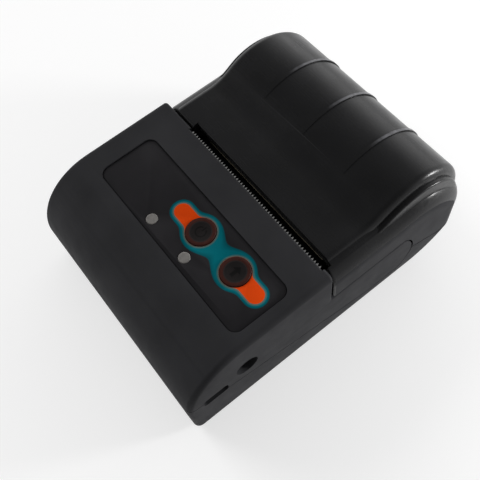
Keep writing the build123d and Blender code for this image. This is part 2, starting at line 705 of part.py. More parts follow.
def door_space():
    """Pocket and grooves that the battery door slides in."""
    panel = block(-DOOR_HALF - SLIDE_FIT, DOOR_HALF + SLIDE_FIT, -FAR, DOOR_REAR_Y + SLIDE_FIT,
                  -FAR, DOOR_TOP_Z + SLIDE_FIT)
    reach = DOOR_HALF + DOOR_TONGUE + SLIDE_FIT
    grooves = block(-reach, reach, -FAR, DOOR_REAR_Y + SLIDE_FIT, DOOR_TONGUE_Z - SLIDE_FIT,
                    DOOR_TOP_Z + SLIDE_FIT)
    return panel + grooves


def battery_door():
    """Sliding door under the battery, with tongues along its sides and a thumb grip."""
    panel = block(-DOOR_HALF, DOOR_HALF, FRONT_Y, DOOR_REAR_Y, BOTTOM_Z, DOOR_TOP_Z)
    reach = DOOR_HALF + DOOR_TONGUE
    tongues = block(-reach, reach, FRONT_Y, DOOR_REAR_Y, DOOR_TONGUE_Z, DOOR_TOP_Z)
    door = (panel + tongues) & prism(casing_outline(), -HALF_WIDTH, HALF_WIDTH)
    for index in range(GRIP_COUNT):
        y = FRONT_Y + GRIP_LEAD + GRIP_PITCH * index
        door -= block(-GRIP_WIDTH / 2, GRIP_WIDTH / 2, y, y + GRIP_PITCH / 2,
                      BOTTOM_Z - OVERCUT, BOTTOM_Z + GRIP_DEPTH)
    return single(door)


def usb_window():
    """Opening in both casing halves for the small USB plug."""
    face = Pos(USB_Y, BOARD_TOP_Z + USB_RISE) * RectangleRounded(
        USB_WIDTH + 2 * USB_CLEARANCE, USB_HEIGHT + 2 * USB_CLEARANCE,
        USB_CORNER_R + USB_CLEARANCE)
    return prism(face, INNER_X - OVERCUT, HALF_WIDTH + OVERCUT)


BLADE_STAKES_X = (SLOT_LEFT + BLADE_STAKE_INSET, SLOT_CENTRE_X, SLOT_RIGHT - BLADE_STAKE_INSET)


def top_housing():
    """Upper casing: rolled front, panel recess, ports, tear edge and the two side rails."""
    shell = CASING - CASING_SPACE
    shell = shell & prism(housing_region(), -FAR, FAR)

    for x, y, top in CASE_SCREWS:
        if top == FRONT_BOSS_TOP:
            shell += post(x, y, BOSS_R, top, FAR) & prism(casing_outline(WALL / 2), -INNER_X,
                                                          INNER_X)
    for x, y in KEY_POSTS:
        shell += post(x, y, KEY_POST_R, KEY_BOARD_TOP_Z, ROOF_Z + WALL / 4)

    shell -= plate(PANEL_X, PANEL_Y, PANEL_WIDTH, PANEL_DEPTH, PANEL_CORNER_R,
                   TOP_Z - PANEL_RECESS, FAR)
    for x in (POWER_BUTTON_X, FEED_BUTTON_X):
        shell -= post(x, BUTTON_Y, BUTTON_R + PART_GAP, ROOF_Z - OVERCUT, FAR)
    for x in (POWER_LED_X, STATUS_LED_X):
        shell -= post(x, LED_Y, LED_R + PART_GAP / 2, ROOF_Z - OVERCUT, FAR)
    for x, y, top in CASE_SCREWS:
        shell -= post(x, y, SCREW_R, top - OVERCUT, top - BOSS_BITE + SCREW_LENGTH)
    for x, y in KEY_POSTS:
        shell -= post(x, y, SMALL_SCREW_R, KEY_BOARD_TOP_Z - OVERCUT,
                      KEY_BOARD_TOP_Z - KEY_BOARD_THICKNESS + SMALL_SCREW_LENGTH)

    jack = (DC_JACK_Y, BOARD_TOP_Z + DC_JACK_RISE)
    shell -= rod(jack, DC_BORE_R + COVER_GAP, INNER_X - OVERCUT, HALF_WIDTH + OVERCUT)
    shell -= usb_window()
    shell -= block(SLOT_LEFT - BLADE_POCKET, SLOT_RIGHT + BLADE_POCKET,
                   TOOTH_ROOT_Y - BLADE_DEPTH - PART_GAP, FAR, ROOF_Z - OVERCUT, BLADE_TOP_Z)
    shell -= block(SLOT_LEFT - SLOT_CLEARANCE, SLOT_RIGHT + SLOT_CLEARANCE, TOOTH_ROOT_Y, FAR,
                   ROOF_Z - OVERCUT, FAR)
    for x in BLADE_STAKES_X:
        shell += post(x, TOOTH_ROOT_Y - BLADE_DEPTH / 2, STAKE_R,
                      BLADE_TOP_Z - BLADE_THICKNESS - PART_GAP, BLADE_TOP_Z + PART_GAP)
    shell = shell - slot_lip(TOOTH_ROOT_Y, -1) - SEAM_BAND - COVER_BAND
    return single(fillet(seam_corners(shell, HOUSING_REAR_Y), SEAM_CORNER_R))


def tear_blade():
    """Steel strip with saw teeth along the paper slot, staked under the housing's rear edge."""
    count = int(SLOT_WIDTH / TOOTH_PITCH)
    start = SLOT_CENTRE_X - count * TOOTH_PITCH / 2
    front_y = TOOTH_ROOT_Y - BLADE_DEPTH
    points = [(SLOT_LEFT, front_y), (SLOT_LEFT, TOOTH_ROOT_Y)]
    for index in range(count):
        x = start + index * TOOTH_PITCH
        points += [(x, TOOTH_ROOT_Y), (x + TOOTH_WIDTH / 2, TOOTH_ROOT_Y + TOOTH_LENGTH),
                   (x + TOOTH_WIDTH, TOOTH_ROOT_Y)]
    points += [(SLOT_RIGHT, TOOTH_ROOT_Y), (SLOT_RIGHT, front_y)]
    face = Pos(0, 0, BLADE_TOP_Z - BLADE_THICKNESS) * polygon(*points)
    blade = extrude(face, amount=BLADE_THICKNESS)
    for x in BLADE_STAKES_X:
        blade -= post(x, TOOTH_ROOT_Y - BLADE_DEPTH / 2, STAKE_R + RUNNING_FIT, 0, FAR)
    return single(blade)


def control_overlay():
    """Thin printed panel that lies in the recess, with holes for the buttons and lights."""
    overlay = plate(PANEL_X, PANEL_Y, PANEL_WIDTH - 2 * PART_GAP, PANEL_DEPTH - 2 * PART_GAP,
                    PANEL_CORNER_R - PART_GAP, OVERLAY_Z, OVERLAY_Z + OVERLAY_THICKNESS)
    for x in (POWER_BUTTON_X, FEED_BUTTON_X):
        overlay -= post(x, BUTTON_Y, BUTTON_R + SLIDE_FIT, 0, FAR)
    for x in (POWER_LED_X, STATUS_LED_X):
        overlay -= post(x, LED_Y, LED_R + RUNNING_FIT, 0, FAR)
    return single(overlay)


def button(x):
    """Round button with a shallow dish, a flange that keeps it in and a stem to its switch."""
    flange_top = ROOF_Z - SLIDE_FIT
    flange_low = flange_top - BUTTON_FLANGE_HEIGHT
    cap = post(x, BUTTON_Y, BUTTON_R, flange_top - RUNNING_FIT, BUTTON_TOP_Z)
    cap = fillet(cap.edges().sort_by(Axis.Z)[-1], BUTTON_EDGE_R)
    cap += post(x, BUTTON_Y, BUTTON_R + BUTTON_FLANGE, flange_low, flange_top)
    cap += post(x, BUTTON_Y, BUTTON_STEM_R, PLUNGER_TOP_Z, flange_top - SLIDE_FIT)
    cap -= Pos(x, BUTTON_Y, BUTTON_TOP_Z - BUTTON_DISH + BUTTON_DISH_R) * Sphere(BUTTON_DISH_R)
    return single(cap)


def switch_plunger(x):
    """Round plunger of a push switch, which travels with its button."""
    return single(post(x, BUTTON_Y, PLUNGER_R, SWITCH_TOP_Z - PLUNGER_DEPTH, PLUNGER_TOP_Z))


def push_switch(x):
    """Square push switch on the key board, with a well for its plunger."""
    half = SWITCH_SIZE / 2
    case = block(x - half, x + half, BUTTON_Y - half, BUTTON_Y + half, KEY_BOARD_TOP_Z,
                 SWITCH_TOP_Z)
    case -= post(x, BUTTON_Y, PLUNGER_R + RUNNING_FIT,
                 SWITCH_TOP_Z - PLUNGER_DEPTH - BUTTON_TRAVEL - PART_GAP, FAR)
    return single(case)


def led_lens(x):
    """Milky light pipe over one indicator, with a foot under the housing."""
    lens = post(x, LED_Y, LED_R, KEY_BOARD_TOP_Z + LED_HEIGHT,
                OVERLAY_Z + OVERLAY_THICKNESS + LENS_RISE)
    lens = fillet(lens.edges().sort_by(Axis.Z)[-1], LENS_EDGE_R)
    lens += post(x, LED_Y, LED_R + LENS_FOOT, ROOF_Z - LENS_FOOT_HEIGHT, ROOF_Z)
    return single(lens)


def status_leds():
    """The two surface-mounted lights on the key board."""
    leds = []
    for x in (POWER_LED_X, STATUS_LED_X):
        leds.append(block(x - LED_LENGTH / 2, x + LED_LENGTH / 2, LED_Y - LED_WIDTH / 2,
                          LED_Y + LED_WIDTH / 2, KEY_BOARD_TOP_Z, KEY_BOARD_TOP_Z + LED_HEIGHT))
    return leds


def key_board():
    """Small circuit board under the panel."""
    board = block(PANEL_X - KEY_POST_LEFT - KEY_BOARD_MARGIN,
                  FEED_BUTTON_X + SWITCH_SIZE / 2 + KEY_BOARD_MARGIN / 2,
                  LED_Y - KEY_BOARD_MARGIN, BUTTON_Y + KEY_POST_REAR + KEY_BOARD_MARGIN,
                  KEY_BOARD_TOP_Z - KEY_BOARD_THICKNESS, KEY_BOARD_TOP_Z)
    for x, y in KEY_POSTS:
        board -= post(x, y, SMALL_SCREW_R + SLIDE_FIT, 0, FAR)
    return single(board)


# Paper cover

def dome_outline(step=0.0, drop=0.0):
    """Side view of the dome over the roll, running out into the flat front of the cover."""
    radius = DOME_R - step
    flat_z = TOP_Z - drop
    rise = flat_z + DOME_BLEND_R - DOME_Z
    blend_y = DOME_Y - sqrt((radius + DOME_BLEND_R) ** 2 - rise ** 2)
    blend = (blend_y, flat_z + DOME_BLEND_R)
    touch = bearing(DOME, blend)
    front_y = COVER_FRONT_Y + COVER_GAP / 2
    return outline(
        Line((front_y, flat_z), (blend_y, flat_z)),
        arc(blend, DOME_BLEND_R, -90, touch - 180),
        arc(DOME, radius, touch, 0),
        Line((DOME_Y + radius, DOME_Z - WALL), (front_y, DOME_Z - WALL)))


def shoulder_outline(inset=0.0, sink=0.0):
    """Side view of the cover without its dome: flat top, round shoulder, upright rear."""
    centre = (SHOULDER_Y, TOP_Z - sink - SHOULDER_R)
    top_z = TOP_Z - sink - inset
    front_y = COVER_FRONT_Y + COVER_GAP / 2 - inset
    rear = COVER_REAR_Y - inset
    drop = SHOULDER_R - REAR_CORNER_R
    turn = degrees(acos((COVER_REAR_Y - REAR_CORNER_R - SHOULDER_Y) / drop))
    corner = polar(centre, drop, turn)
    return outline(
        Line((front_y, top_z), (SHOULDER_Y, top_z)),
        arc(centre, SHOULDER_R - inset, 90, turn),
        arc(corner, REAR_CORNER_R - inset, turn, 0),
        Line((rear, -WALL), (front_y, -WALL)))


def cover_space():
    """Hollow of the cover: the low part between the skirts and the round bay for the roll."""
    inner = prism(shoulder_outline(COVER_WALL), -COVER_INNER_X, COVER_INNER_X)
    top_edges = [edge for edge in inner.edges().filter_by(Axis.Y)
                 if edge.center().Z > ROOF_Z - OVERCUT]
    inner = fillet(top_edges, COVER_EDGE_R - COVER_WALL)
    bay_r = DOME_R - COVER_WALL
    bay = disc(DOME, bay_r) + polygon((-FAR, -FAR), (DOME_Y, -FAR), (DOME_Y, FAR), (-FAR, FAR))
    low = inner & prism(bay, -COVER_INNER_X, COVER_INNER_X)
    high = rod(DOME, bay_r, -DOME_HALF + COVER_WALL, DOME_HALF - COVER_WALL)
    front_wall = block(-FAR, FAR, COVER_FRONT_Y - 2 * WALL, COVER_FRONT_Y + COVER_GAP / 2 + COVER_WALL,
                       ROOF_Z - LIP_DROP, FAR)
    return low - front_wall + high


def ridges():
    """Three fine ridges round the dome, which fade out towards its front."""
    bands = []
    pitch = 2 * DOME_HALF / (RIDGE_COUNT + 1)
    shape = disc((DOME_Y + RIDGE_RISE, DOME_Z + RIDGE_RISE), DOME_R) & polygon(
        (DOME_Y - DOME_R / 2, DOME_Z), (FAR, DOME_Z), (FAR, FAR), (DOME_Y - DOME_R / 2, FAR))
    for index in range(RIDGE_COUNT):
        x = -DOME_HALF + pitch * (index + 1)
        bands.append(prism(shape, x - RIDGE_WIDTH / 2, x + RIDGE_WIDTH / 2))
    return bands


def paper_cover():
    """Hinged cover: flat front with the paper slot, dome over the roll, skirts and ears."""
    cover = prism(shoulder_outline(sink=SHOULDER_SINK), -HALF_WIDTH, HALF_WIDTH)
    cover = fillet(cover_edges(cover), COVER_EDGE_R)
    cover = fillet(front_edges(cover), SEAM_CORNER_R)
    dome = prism(dome_outline(), -DOME_HALF, DOME_HALF)
    dome = fillet(dome_edges(dome), DOME_END_R)
    dome = fillet(front_edges(dome), SEAM_CORNER_R)
    collar = prism(dome_outline(COLLAR_STEP, COLLAR_DROP),
                   -DOME_HALF - COLLAR_WIDTH, DOME_HALF + COLLAR_WIDTH)
    collar = fillet(dome_edges(collar), COLLAR_EDGE_R)
    cover = cover + dome + collar
    for band in ridges():
        cover += band
    cover -= cover_space()
    for x, y in HOLDER_SCREWS:
        cover += post(x, y, HOLDER_BOSS_R, HOLDER_TOP_Z, COVER_ROOF_Z + COVER_WALL / 2)
        cover -= post(x, y, SMALL_SCREW_R, HOLDER_TOP_Z - OVERCUT,
                      HOLDER_TOP_Z - HOLDER_BAR_HEIGHT + SMALL_SCREW_LENGTH)
    cover -= block(SLOT_LEFT - SLOT_CLEARANCE, SLOT_RIGHT + SLOT_CLEARANCE, -FAR, SLOT_REAR_Y, 0, FAR)
    cover -= slot_lip(SLOT_REAR_Y, 1)
    cover -= block(-COVER_INNER_X, COVER_INNER_X, COVER_FRONT_Y, HINGE_Y + SCREW_R, -FAR,
                   HINGE_Z - BARREL_R + HINGE_HUB_R)
    cover = cover & prism(cover_region(), -FAR, FAR)
    cover -= COVER_BAND
    for side in (-1, 1):
        cover -= rod(HINGE, HINGE_PIN_R + HINGE_FIT, *span(side, 0, HALF_WIDTH - COVER_GAP))
    return single(cover)


def cover_edges(solid):
    """Long edges between the cover's top and rear and its two sides."""
    edges = []
    for edge in side_edges(solid):
        centre = edge.center()
        if centre.Z > HINGE_Z and centre.Y > COVER_FRONT_Y + COVER_WALL:
            edges.append(edge)
    return edges


def dome_edges(solid):
    """Edges at the ends of the dome, from the front of the cover over the crown to the rear."""
    return [edge for edge in side_edges(solid)
            if edge.geom_type == GeomType.CIRCLE or edge.center().Z > HINGE_Z + DOME_R / 2]


def front_edges(solid):
    """Edges round the front face of the cover, apart from the lowest one."""
    return solid.faces().filter_by(Axis.Y).sort_by(Axis.Y)[0].edges().sort_by(Axis.Z)[1:]


def hinge_pins():
    """Steel stub pins pressed into the hinge arms."""
    pins = []
    for side in (-1, 1):
        pins.append(rod(HINGE, HINGE_PIN_R, *span(side, ARM_INNER_X, ARM_INNER_X
                                                  + HINGE_PIN_LENGTH)))
    return pins


# Platen, carried by the cover


def platen_holder():
    """Moulded bar under the cover with an arm at each end of the platen."""
    front = PLATEN_Y + PLATEN_R + HEAD_INSET
    rear = front + HOLDER_BAR_WIDTH
    low = HOLDER_TOP_Z - HOLDER_BAR_HEIGHT
    rim = BUSH_R + BAY_WALL
    holder = block(LEFT_ARM_X[0], RIGHT_ARM_X[1], front, rear, low, HOLDER_TOP_Z)
    arm = polygon((PLATEN_Y - BUSH_R, PLATEN_Z), (PLATEN_Y, PLATEN_Z - rim), (rear, low),
                  (rear, HOLDER_TOP_Z), (PLATEN_Y, HOLDER_TOP_Z))
    arm += disc(PLATEN, rim)
    for low, high in (LEFT_ARM_X, RIGHT_ARM_X):
        holder += prism(arm, low, high)
        holder -= rod(PLATEN, BUSH_R, low - OVERCUT, high + OVERCUT)
    for x, y in HOLDER_SCREWS:
        holder -= post(x, y, SMALL_SCREW_R + SLIDE_FIT, 0, FAR)
    return single(holder)


def platen_bushes():
    """Flanged plastic bushes that carry the platen shaft and drop into the mechanism."""
    left = rod(PLATEN, BUSH_R, LEFT_PLATE_X[0], LEFT_ARM_X[1])
    left += rod(PLATEN, BUSH_R + BUSH_SHOULDER, LEFT_ARM_X[0] - BUSH_FLANGE, LEFT_ARM_X[0])
    right = rod(PLATEN, BUSH_R, RIGHT_ARM_X[0], RIGHT_PLATE_X[1])
    right += rod(PLATEN, BUSH_R + BUSH_SHOULDER, RIGHT_ARM_X[1], RIGHT_ARM_X[1] + BUSH_FLANGE)
    bore = rod(PLATEN, SHAFT_R + RUNNING_FIT, -FAR, FAR)
    return [single(left - bore), single(right - bore)]


def platen_shaft():
    """Steel shaft through the roller, the bushes and the platen gear."""
    return single(rod(PLATEN, SHAFT_R, SMALL_GEAR_X[0] - RUNNING_FIT, RIGHT_PLATE_X[1]))


def platen_roller():
    """Rubber sleeve that feeds the paper."""
    sleeve = rod(PLATEN, PLATEN_R, PLATEN_LEFT, PLATEN_RIGHT)
    return single(sleeve - rod(PLATEN, SHAFT_R, -FAR, FAR))


def gear(centre, teeth, x_range, bore, tooth_angle):
    """Spur gear with a tooth at an angle, its flanks drawn through root, pitch and tip."""
    radius = GEAR_MODULE * teeth / 2
    tip = radius + 0.85 * GEAR_MODULE
    root = radius - 1.2 * GEAR_MODULE
    step = 360 / teeth
    points = []
    for index in range(teeth):
        middle = tooth_angle + index * step
        for distance, share in ((root, 0.31), (radius, 0.205), (tip, 0.10)):
            points.append(polar(centre, distance, middle - share * step))
        for distance, share in ((tip, 0.10), (radius, 0.205), (root, 0.31)):
            points.append(polar(centre, distance, middle + share * step))
    face = polygon(*points) - disc(centre, bore)
    return prism(face, *x_range)


# Gear train: the compound gear lies straight under the platen gear on the way that the platen
# leaves when the cover opens, so that the teeth part at once.

LIFT = (HINGE_Z - PLATEN_Z, HINGE_Y - PLATEN_Y)
UPPER_STEP = (PLATEN_TEETH + SMALL_TEETH) / 2 * LIFT[1] / hypot(*LIFT)
LOWER_STEP = (LARGE_TEETH + PINION_TEETH) / 2 * sin(radians(MOTOR_BEARING_ANGLE))
GEAR_MODULE = (PLATEN_Z - FLOOR_Z - MOTOR_R - MOTOR_FLOOR_GAP) / (UPPER_STEP - LOWER_STEP)
COMPOUND = towards(PLATEN, (PLATEN_Y + LIFT[0], PLATEN_Z - LIFT[1]),
                   GEAR_MODULE * (PLATEN_TEETH + SMALL_TEETH) / 2)
MOTOR = polar(COMPOUND, GEAR_MODULE * (LARGE_TEETH + PINION_TEETH) / 2, MOTOR_BEARING_ANGLE)


def platen_gear():
    """Gear on the platen shaft."""
    return single(gear(PLATEN, PLATEN_TEETH, SMALL_GEAR_X, SHAFT_R, bearing(PLATEN, COMPOUND)))


def compound_gear():
    """Reduction gear: a large wheel driven by the motor, a small one that drives the platen."""
    gap = 180 / SMALL_TEETH
    small = gear(COMPOUND, SMALL_TEETH, (LARGE_GEAR_X[1], SMALL_GEAR_X[1]), AXLE_R
                 + RUNNING_FIT, bearing(COMPOUND, PLATEN) + gap)
    large = gear(COMPOUND, LARGE_TEETH, LARGE_GEAR_X, AXLE_R + RUNNING_FIT,
                 bearing(COMPOUND, MOTOR))
    return single(small + large)


def motor_pinion():
    """Brass pinion on the motor shaft."""
    gap = 180 / PINION_TEETH
    return single(gear(MOTOR, PINION_TEETH, LARGE_GEAR_X, MOTOR_SHAFT_R,
                       bearing(MOTOR, COMPOUND) + gap))


def gear_axle():
    """Steel pin in the mechanism's side plate that carries the compound gear."""
    return single(rod(COMPOUND, AXLE_R, LARGE_GEAR_X[0] - BUSH_FLANGE, LEFT_PLATE_X[1]))


def motor_shaft():
    """Shaft of the stepping motor."""
    return single(rod(MOTOR, MOTOR_SHAFT_R, LARGE_GEAR_X[0], LEFT_PLATE_X[1] + MOTOR_DEPTH))


def drive_motor():
    """Round stepping motor with its flange on the side plate."""
    start = LEFT_PLATE_X[1]
    motor = rod(MOTOR, MOTOR_R, start + MOTOR_LIP, start + MOTOR_LENGTH)
    motor = fillet(motor.edges().sort_by(Axis.X)[-1], MOTOR_LIP)
    motor += rod(MOTOR, MOTOR_R - MOTOR_LIP, start, start + MOTOR_LIP)
    motor += rod(MOTOR, MOTOR_PILOT_R, LEFT_PLATE_X[0], start)
    motor -= rod(MOTOR, MOTOR_SHAFT_R + RUNNING_FIT, LEFT_PLATE_X[0] - OVERCUT,
                 start + MOTOR_DEPTH + COVER_GAP)
    return single(motor)


# Print mechanism frame and thermal head

def chassis_outline():
    """Side view of a mechanism side plate, with the mouth that the platen bush drops into."""
    low = FLOOR_Z + HINGE_ARM_WIDTH / 2
    middle = (DOME_Y - ROLL_BAY_R - WELL_WALL - RUNNING_FIT, PLATEN_Z - BOSS_R)
    face = polygon((CHASSIS_FRONT_Y, low + BOSS_BITE), (CHASSIS_FRONT_Y + BOSS_R, low),
                   (PLATEN_Y - HINGE_ARM_WIDTH, low), (PLATEN_Y - BUSH_R, MECH_FOOT_Z),
                   (CHASSIS_REAR_Y, MECH_FOOT_Z), (CHASSIS_REAR_Y, DECK_TOP_Z + WALL / 2),
                   middle, (middle[0], CHASSIS_TOP_Z), (CHASSIS_FRONT_Y, CHASSIS_TOP_Z))
    half = BUSH_R + BUSH_MOUTH_FIT
    open_end = towards(PLATEN, (PLATEN_Y - LIFT[0], PLATEN_Z + LIFT[1]), 2 * PLATEN_R)
    mouth = trace(Line(PLATEN, open_end), 2 * half)
    return face - disc(PLATEN, half) - mouth


def mech_chassis():
    """Frame of the print mechanism: two side plates, a spring wall and a foot."""
    frame = prism(chassis_outline(), *LEFT_PLATE_X) + prism(chassis_outline(), *RIGHT_PLATE_X)
    frame += block(LEFT_PLATE_X[0], RIGHT_PLATE_X[1], CHASSIS_FRONT_Y,
                   CHASSIS_FRONT_Y + CHASSIS_WALL, PLATEN_Z - CHASSIS_WALL_DROP, CHASSIS_TOP_Z)
    frame += block(LEFT_PLATE_X[0], RIGHT_PLATE_X[1], CHASSIS_REAR_Y - CHASSIS_FOOT_LENGTH,
                   CHASSIS_REAR_Y, MECH_FOOT_Z, MECH_FOOT_Z + CHASSIS_WALL)
    for x, y in MECH_SCREWS:
        frame -= post(x, y, SCREW_R + SLIDE_FIT, MECH_FOOT_Z - OVERCUT,
                      MECH_FOOT_Z + CHASSIS_WALL + OVERCUT)
    frame -= rod(HEAD_PIVOT, HEAD_PIN_R, -FAR, FAR)
    for centre, radius in ((COMPOUND, AXLE_R), (MOTOR, MOTOR_PILOT_R)):
        frame -= rod(centre, radius, LEFT_PLATE_X[0] - OVERCUT, LEFT_PLATE_X[1] + OVERCUT)
    return single(frame)


def head_pivot_pin():
    """Rod that the print head tilts on."""
    return single(rod(HEAD_PIVOT, HEAD_PIN_R, LEFT_PLATE_X[0], RIGHT_PLATE_X[1]))


def head_heatsink():
    """Aluminium plate behind the thermal head, with a pivot lug at each end."""
    rear = HEAD_PLATE_Y + HEAD_PLATE
    heatsink = block(*HEAD_X, HEAD_PLATE_Y, rear, HEAD_PIVOT_Z + CHASSIS_WALL, HEAD_TOP_Z)
    for low in (HEAD_X[0], HEAD_X[1] - HEAD_LUG_WIDTH):
        high = low + HEAD_LUG_WIDTH
        heatsink += rod(HEAD_PIVOT, HEAD_LUG_R, low, high)
        heatsink += block(low, high, HEAD_PLATE_Y, rear, HEAD_PIVOT_Z, HEAD_TOP_Z)
    heatsink -= rod(HEAD_PIVOT, HEAD_PIN_R + RUNNING_FIT, -FAR, FAR)
    return single(heatsink)


def print_head():
    """Ceramic strip with the line of heating dots, on the front of its heat sink."""
    top = HEAD_TOP_Z - HEAD_INSET
    return single(block(HEAD_X[0] + WALL, HEAD_X[1] - WALL, HEAD_FACE_Y - HEAD_CHIP, HEAD_FACE_Y,
                        top - HEAD_CHIP_HEIGHT, top))


def head_springs():
    """Two coil springs that push the head against the platen."""
    springs = []
    start_y = CHASSIS_FRONT_Y + CHASSIS_WALL
    length = HEAD_PLATE_Y - SPRING_GAP - start_y
    pitch = (length - 2 * SPRING_WIRE_R) / SPRING_COILS
    for x in (PLATEN_LEFT + SPRING_INSET, PLATEN_RIGHT - SPRING_INSET):
        path = Helix(pitch, pitch * SPRING_COILS, SPRING_R)
        section = Plane(origin=path @ 0, z_dir=path % 0) * RegularPolygon(SPRING_WIRE_R, 6)
        spring = sweep(section, path=path, is_frenet=True)
        springs.append(Pos(x, start_y + SPRING_WIRE_R, SPRING_Z) * Rot(-90, 0, 0) * spring)
    return springs


def head_ribbon():
    """Flat cable from the head's back to the main board."""
    start_y = HEAD_PLATE_Y - HEAD_INSET
    low = BOARD_TOP_Z + CONNECTOR_HEIGHT / 2
    path = FilletPolyline((start_y, HEAD_TOP_Z - CHASSIS_FOOT_LENGTH), (start_y, low),
                          (CONNECTOR_Y[1], low), radius=RIBBON_BEND_R)
    return single(prism(trace(path, RIBBON_THICKNESS), *RIBBON_X))


def ribbon_connector():
    """Socket on the main board that grips the flat cable."""
    return single(block(RIBBON_X[0] - BAY_WALL, RIBBON_X[1] + BAY_WALL, *CONNECTOR_Y, BOARD_TOP_Z,
                        BOARD_TOP_Z + CONNECTOR_HEIGHT))


# Paper bay

WELL_END_ANGLE = -53.0


def paper_well():
    """Curved tray that the paper roll lies in, with cheeks at its ends and a side deck."""
    outer_r = ROLL_BAY_R + WELL_WALL
    trough = outline(arc(DOME, outer_r, -180, WELL_END_ANGLE),
                     arc(DOME, ROLL_BAY_R, WELL_END_ANGLE, -180))
    lip_top = DOME_Z + WELL_WALL
    lip = polygon((WELL_FRONT_Y, DECK_TOP_Z), (WELL_FRONT_Y + WELL_WALL, DECK_TOP_Z),
                  (WELL_FRONT_Y + WELL_WALL, lip_top), (WELL_FRONT_Y, lip_top))
    clear_r = BARREL_R + HINGE_ARM_THICKNESS / 2
    cheek = outline(arc(DOME, outer_r, -180, WELL_END_ANGLE),
                    Line(polar(HINGE, clear_r, 225), polar(HINGE, clear_r, 180)),
                    Line((HINGE_Y - clear_r, DECK_TOP_Z), (WELL_FRONT_Y, DECK_TOP_Z)))
    well = prism(trough + lip, CHEEK_LEFT_X[0], CHEEK_RIGHT_X[1])
    well += prism(cheek, *CHEEK_LEFT_X) + prism(cheek, *CHEEK_RIGHT_X)
    deck_low = DECK_TOP_Z - CHEEK_WALL
    well += block(-ARM_OUTER_X, CHEEK_LEFT_X[1], DOME_Y - RIGHT_BOSS_LEAD, KNEE[0], deck_low,
                  DECK_TOP_Z)
    roll = rod(DOME, ROLL_BAY_R, CHEEK_LEFT_X[1], CHEEK_RIGHT_X[0])
    for x, y, top in CASE_SCREWS:
        if top == WELL_BOSS_TOP:
            stop = deck_low if x < CHEEK_LEFT_X[0] else DOME_Z - BARREL_R
            well += post(x, y, BOSS_R - PART_GAP, top, stop)
            well -= post(x, y, SCREW_R, top - OVERCUT, top - BOSS_BITE + SCREW_LENGTH)
    return single(well - roll)


def paper_sensor():
    """Small optical sensor on the front of the paper tray."""
    left = SLOT_CENTRE_X - SENSOR_WIDTH / 2
    low = DECK_TOP_Z - WALL
    return single(block(left, left + SENSOR_WIDTH, WELL_FRONT_Y - SENSOR_DEPTH, WELL_FRONT_Y, low,
                        low + SENSOR_HEIGHT))


# Electronics

def main_board():
    """Main circuit board over the battery, cut back round the screw bosses."""
    board = block(-HALF_WIDTH + BOARD_INSET, INNER_X - BOARD_SIDE_GAP, ahead(BOARD_FRONT_SHARE),
                  BOARD_REAR_Y, BOARD_Z, BOARD_TOP_Z)
    for x, y, top in CASE_SCREWS:
        board -= post(x, y, BOSS_R + BOARD_SIDE_GAP, 0, FAR)
    for x, y in BOARD_SCREWS:
        board -= post(x, y, SMALL_SCREW_R + SLIDE_FIT, 0, FAR)
    return single(board)


def board_chips():
    """Processor, memory, motor driver and capacitors on the main board."""
    chips = []
    for x, share, size in ((0.4, 0.426, 1.0), (-1.0, 0.267, 0.6), (0.6, 0.188, 0.6),
                           (-1.2, 0.545, 0.6)):
        half = CHIP_SIZE * size / 2
        centre_x = -CHIP_SIZE * x
        chips.append(block(centre_x - half, centre_x + half, ahead(share) - half,
                           ahead(share) + half, BOARD_TOP_Z, BOARD_TOP_Z + CHIP_HEIGHT))
    left = -HALF_WIDTH + CAPACITOR_INSET
    for x in (left, left + 2 * CAPACITOR_R + COLLAR_STEP / 2):
        chips.append(post(x, ahead(0.683), CAPACITOR_R, BOARD_TOP_Z,
                          BOARD_TOP_Z + CAPACITOR_HEIGHT))
    return chips


def radio_module():
    """Short-range radio on its own small board, under a metal can."""
    left = -HALF_WIDTH + RADIO_INSET
    right = left + RADIO_WIDTH
    low = BOARD_TOP_Z + COVER_GAP
    board = block(left, right, ahead(0.148), ahead(0.545), BOARD_TOP_Z, low)
    can = block(left + BAY_WALL, right - BAY_WALL, ahead(0.267), ahead(0.525), low,
                BOARD_TOP_Z + HOLDER_BAR_WIDTH)
    return single(board + can)


def dc_jack():
    """Power inlet: a block with a round mouth and a centre pin."""
    centre = (DC_JACK_Y, BOARD_TOP_Z + DC_JACK_RISE)
    mouth_x = INNER_X - HOLDER_GAP
    body = block(mouth_x - DC_JACK_LENGTH, mouth_x, DC_JACK_Y - DC_JACK_WIDTH / 2,
                 DC_JACK_Y + DC_JACK_WIDTH / 2, BOARD_TOP_Z, BOARD_TOP_Z + DC_JACK_HEIGHT)
    body -= rod(centre, DC_BORE_R, mouth_x - DC_BORE_DEPTH, mouth_x + OVERCUT)
    body += rod(centre, DC_PIN_R, mouth_x - DC_BORE_DEPTH - WALL / 2, mouth_x - DC_PIN_R)
    return single(body)


def usb_socket():
    """Small USB socket: a folded metal shell with a contact tongue."""
    mouth_x = INNER_X + BAY_GAP
    centre = (USB_Y, BOARD_TOP_Z + USB_RISE)
    outer = RectangleRounded(USB_WIDTH, USB_HEIGHT, USB_CORNER_R)
    inner = RectangleRounded(USB_WIDTH - 2 * USB_WALL, USB_HEIGHT - 2 * USB_WALL,
                             USB_CORNER_R - USB_WALL / 2)
    back_x = mouth_x - USB_LENGTH
    shell = prism(Pos(*centre) * outer, back_x, mouth_x)
    shell -= prism(Pos(*centre) * inner, back_x + BAY_WALL, mouth_x + OVERCUT)
    tongue = block(back_x + BAY_WALL / 2, mouth_x - WALL, USB_Y - USB_WIDTH / 4,
                   USB_Y + USB_WIDTH / 4, centre[1] - USB_WALL, centre[1] + USB_WALL)
    return single(shell + tongue)


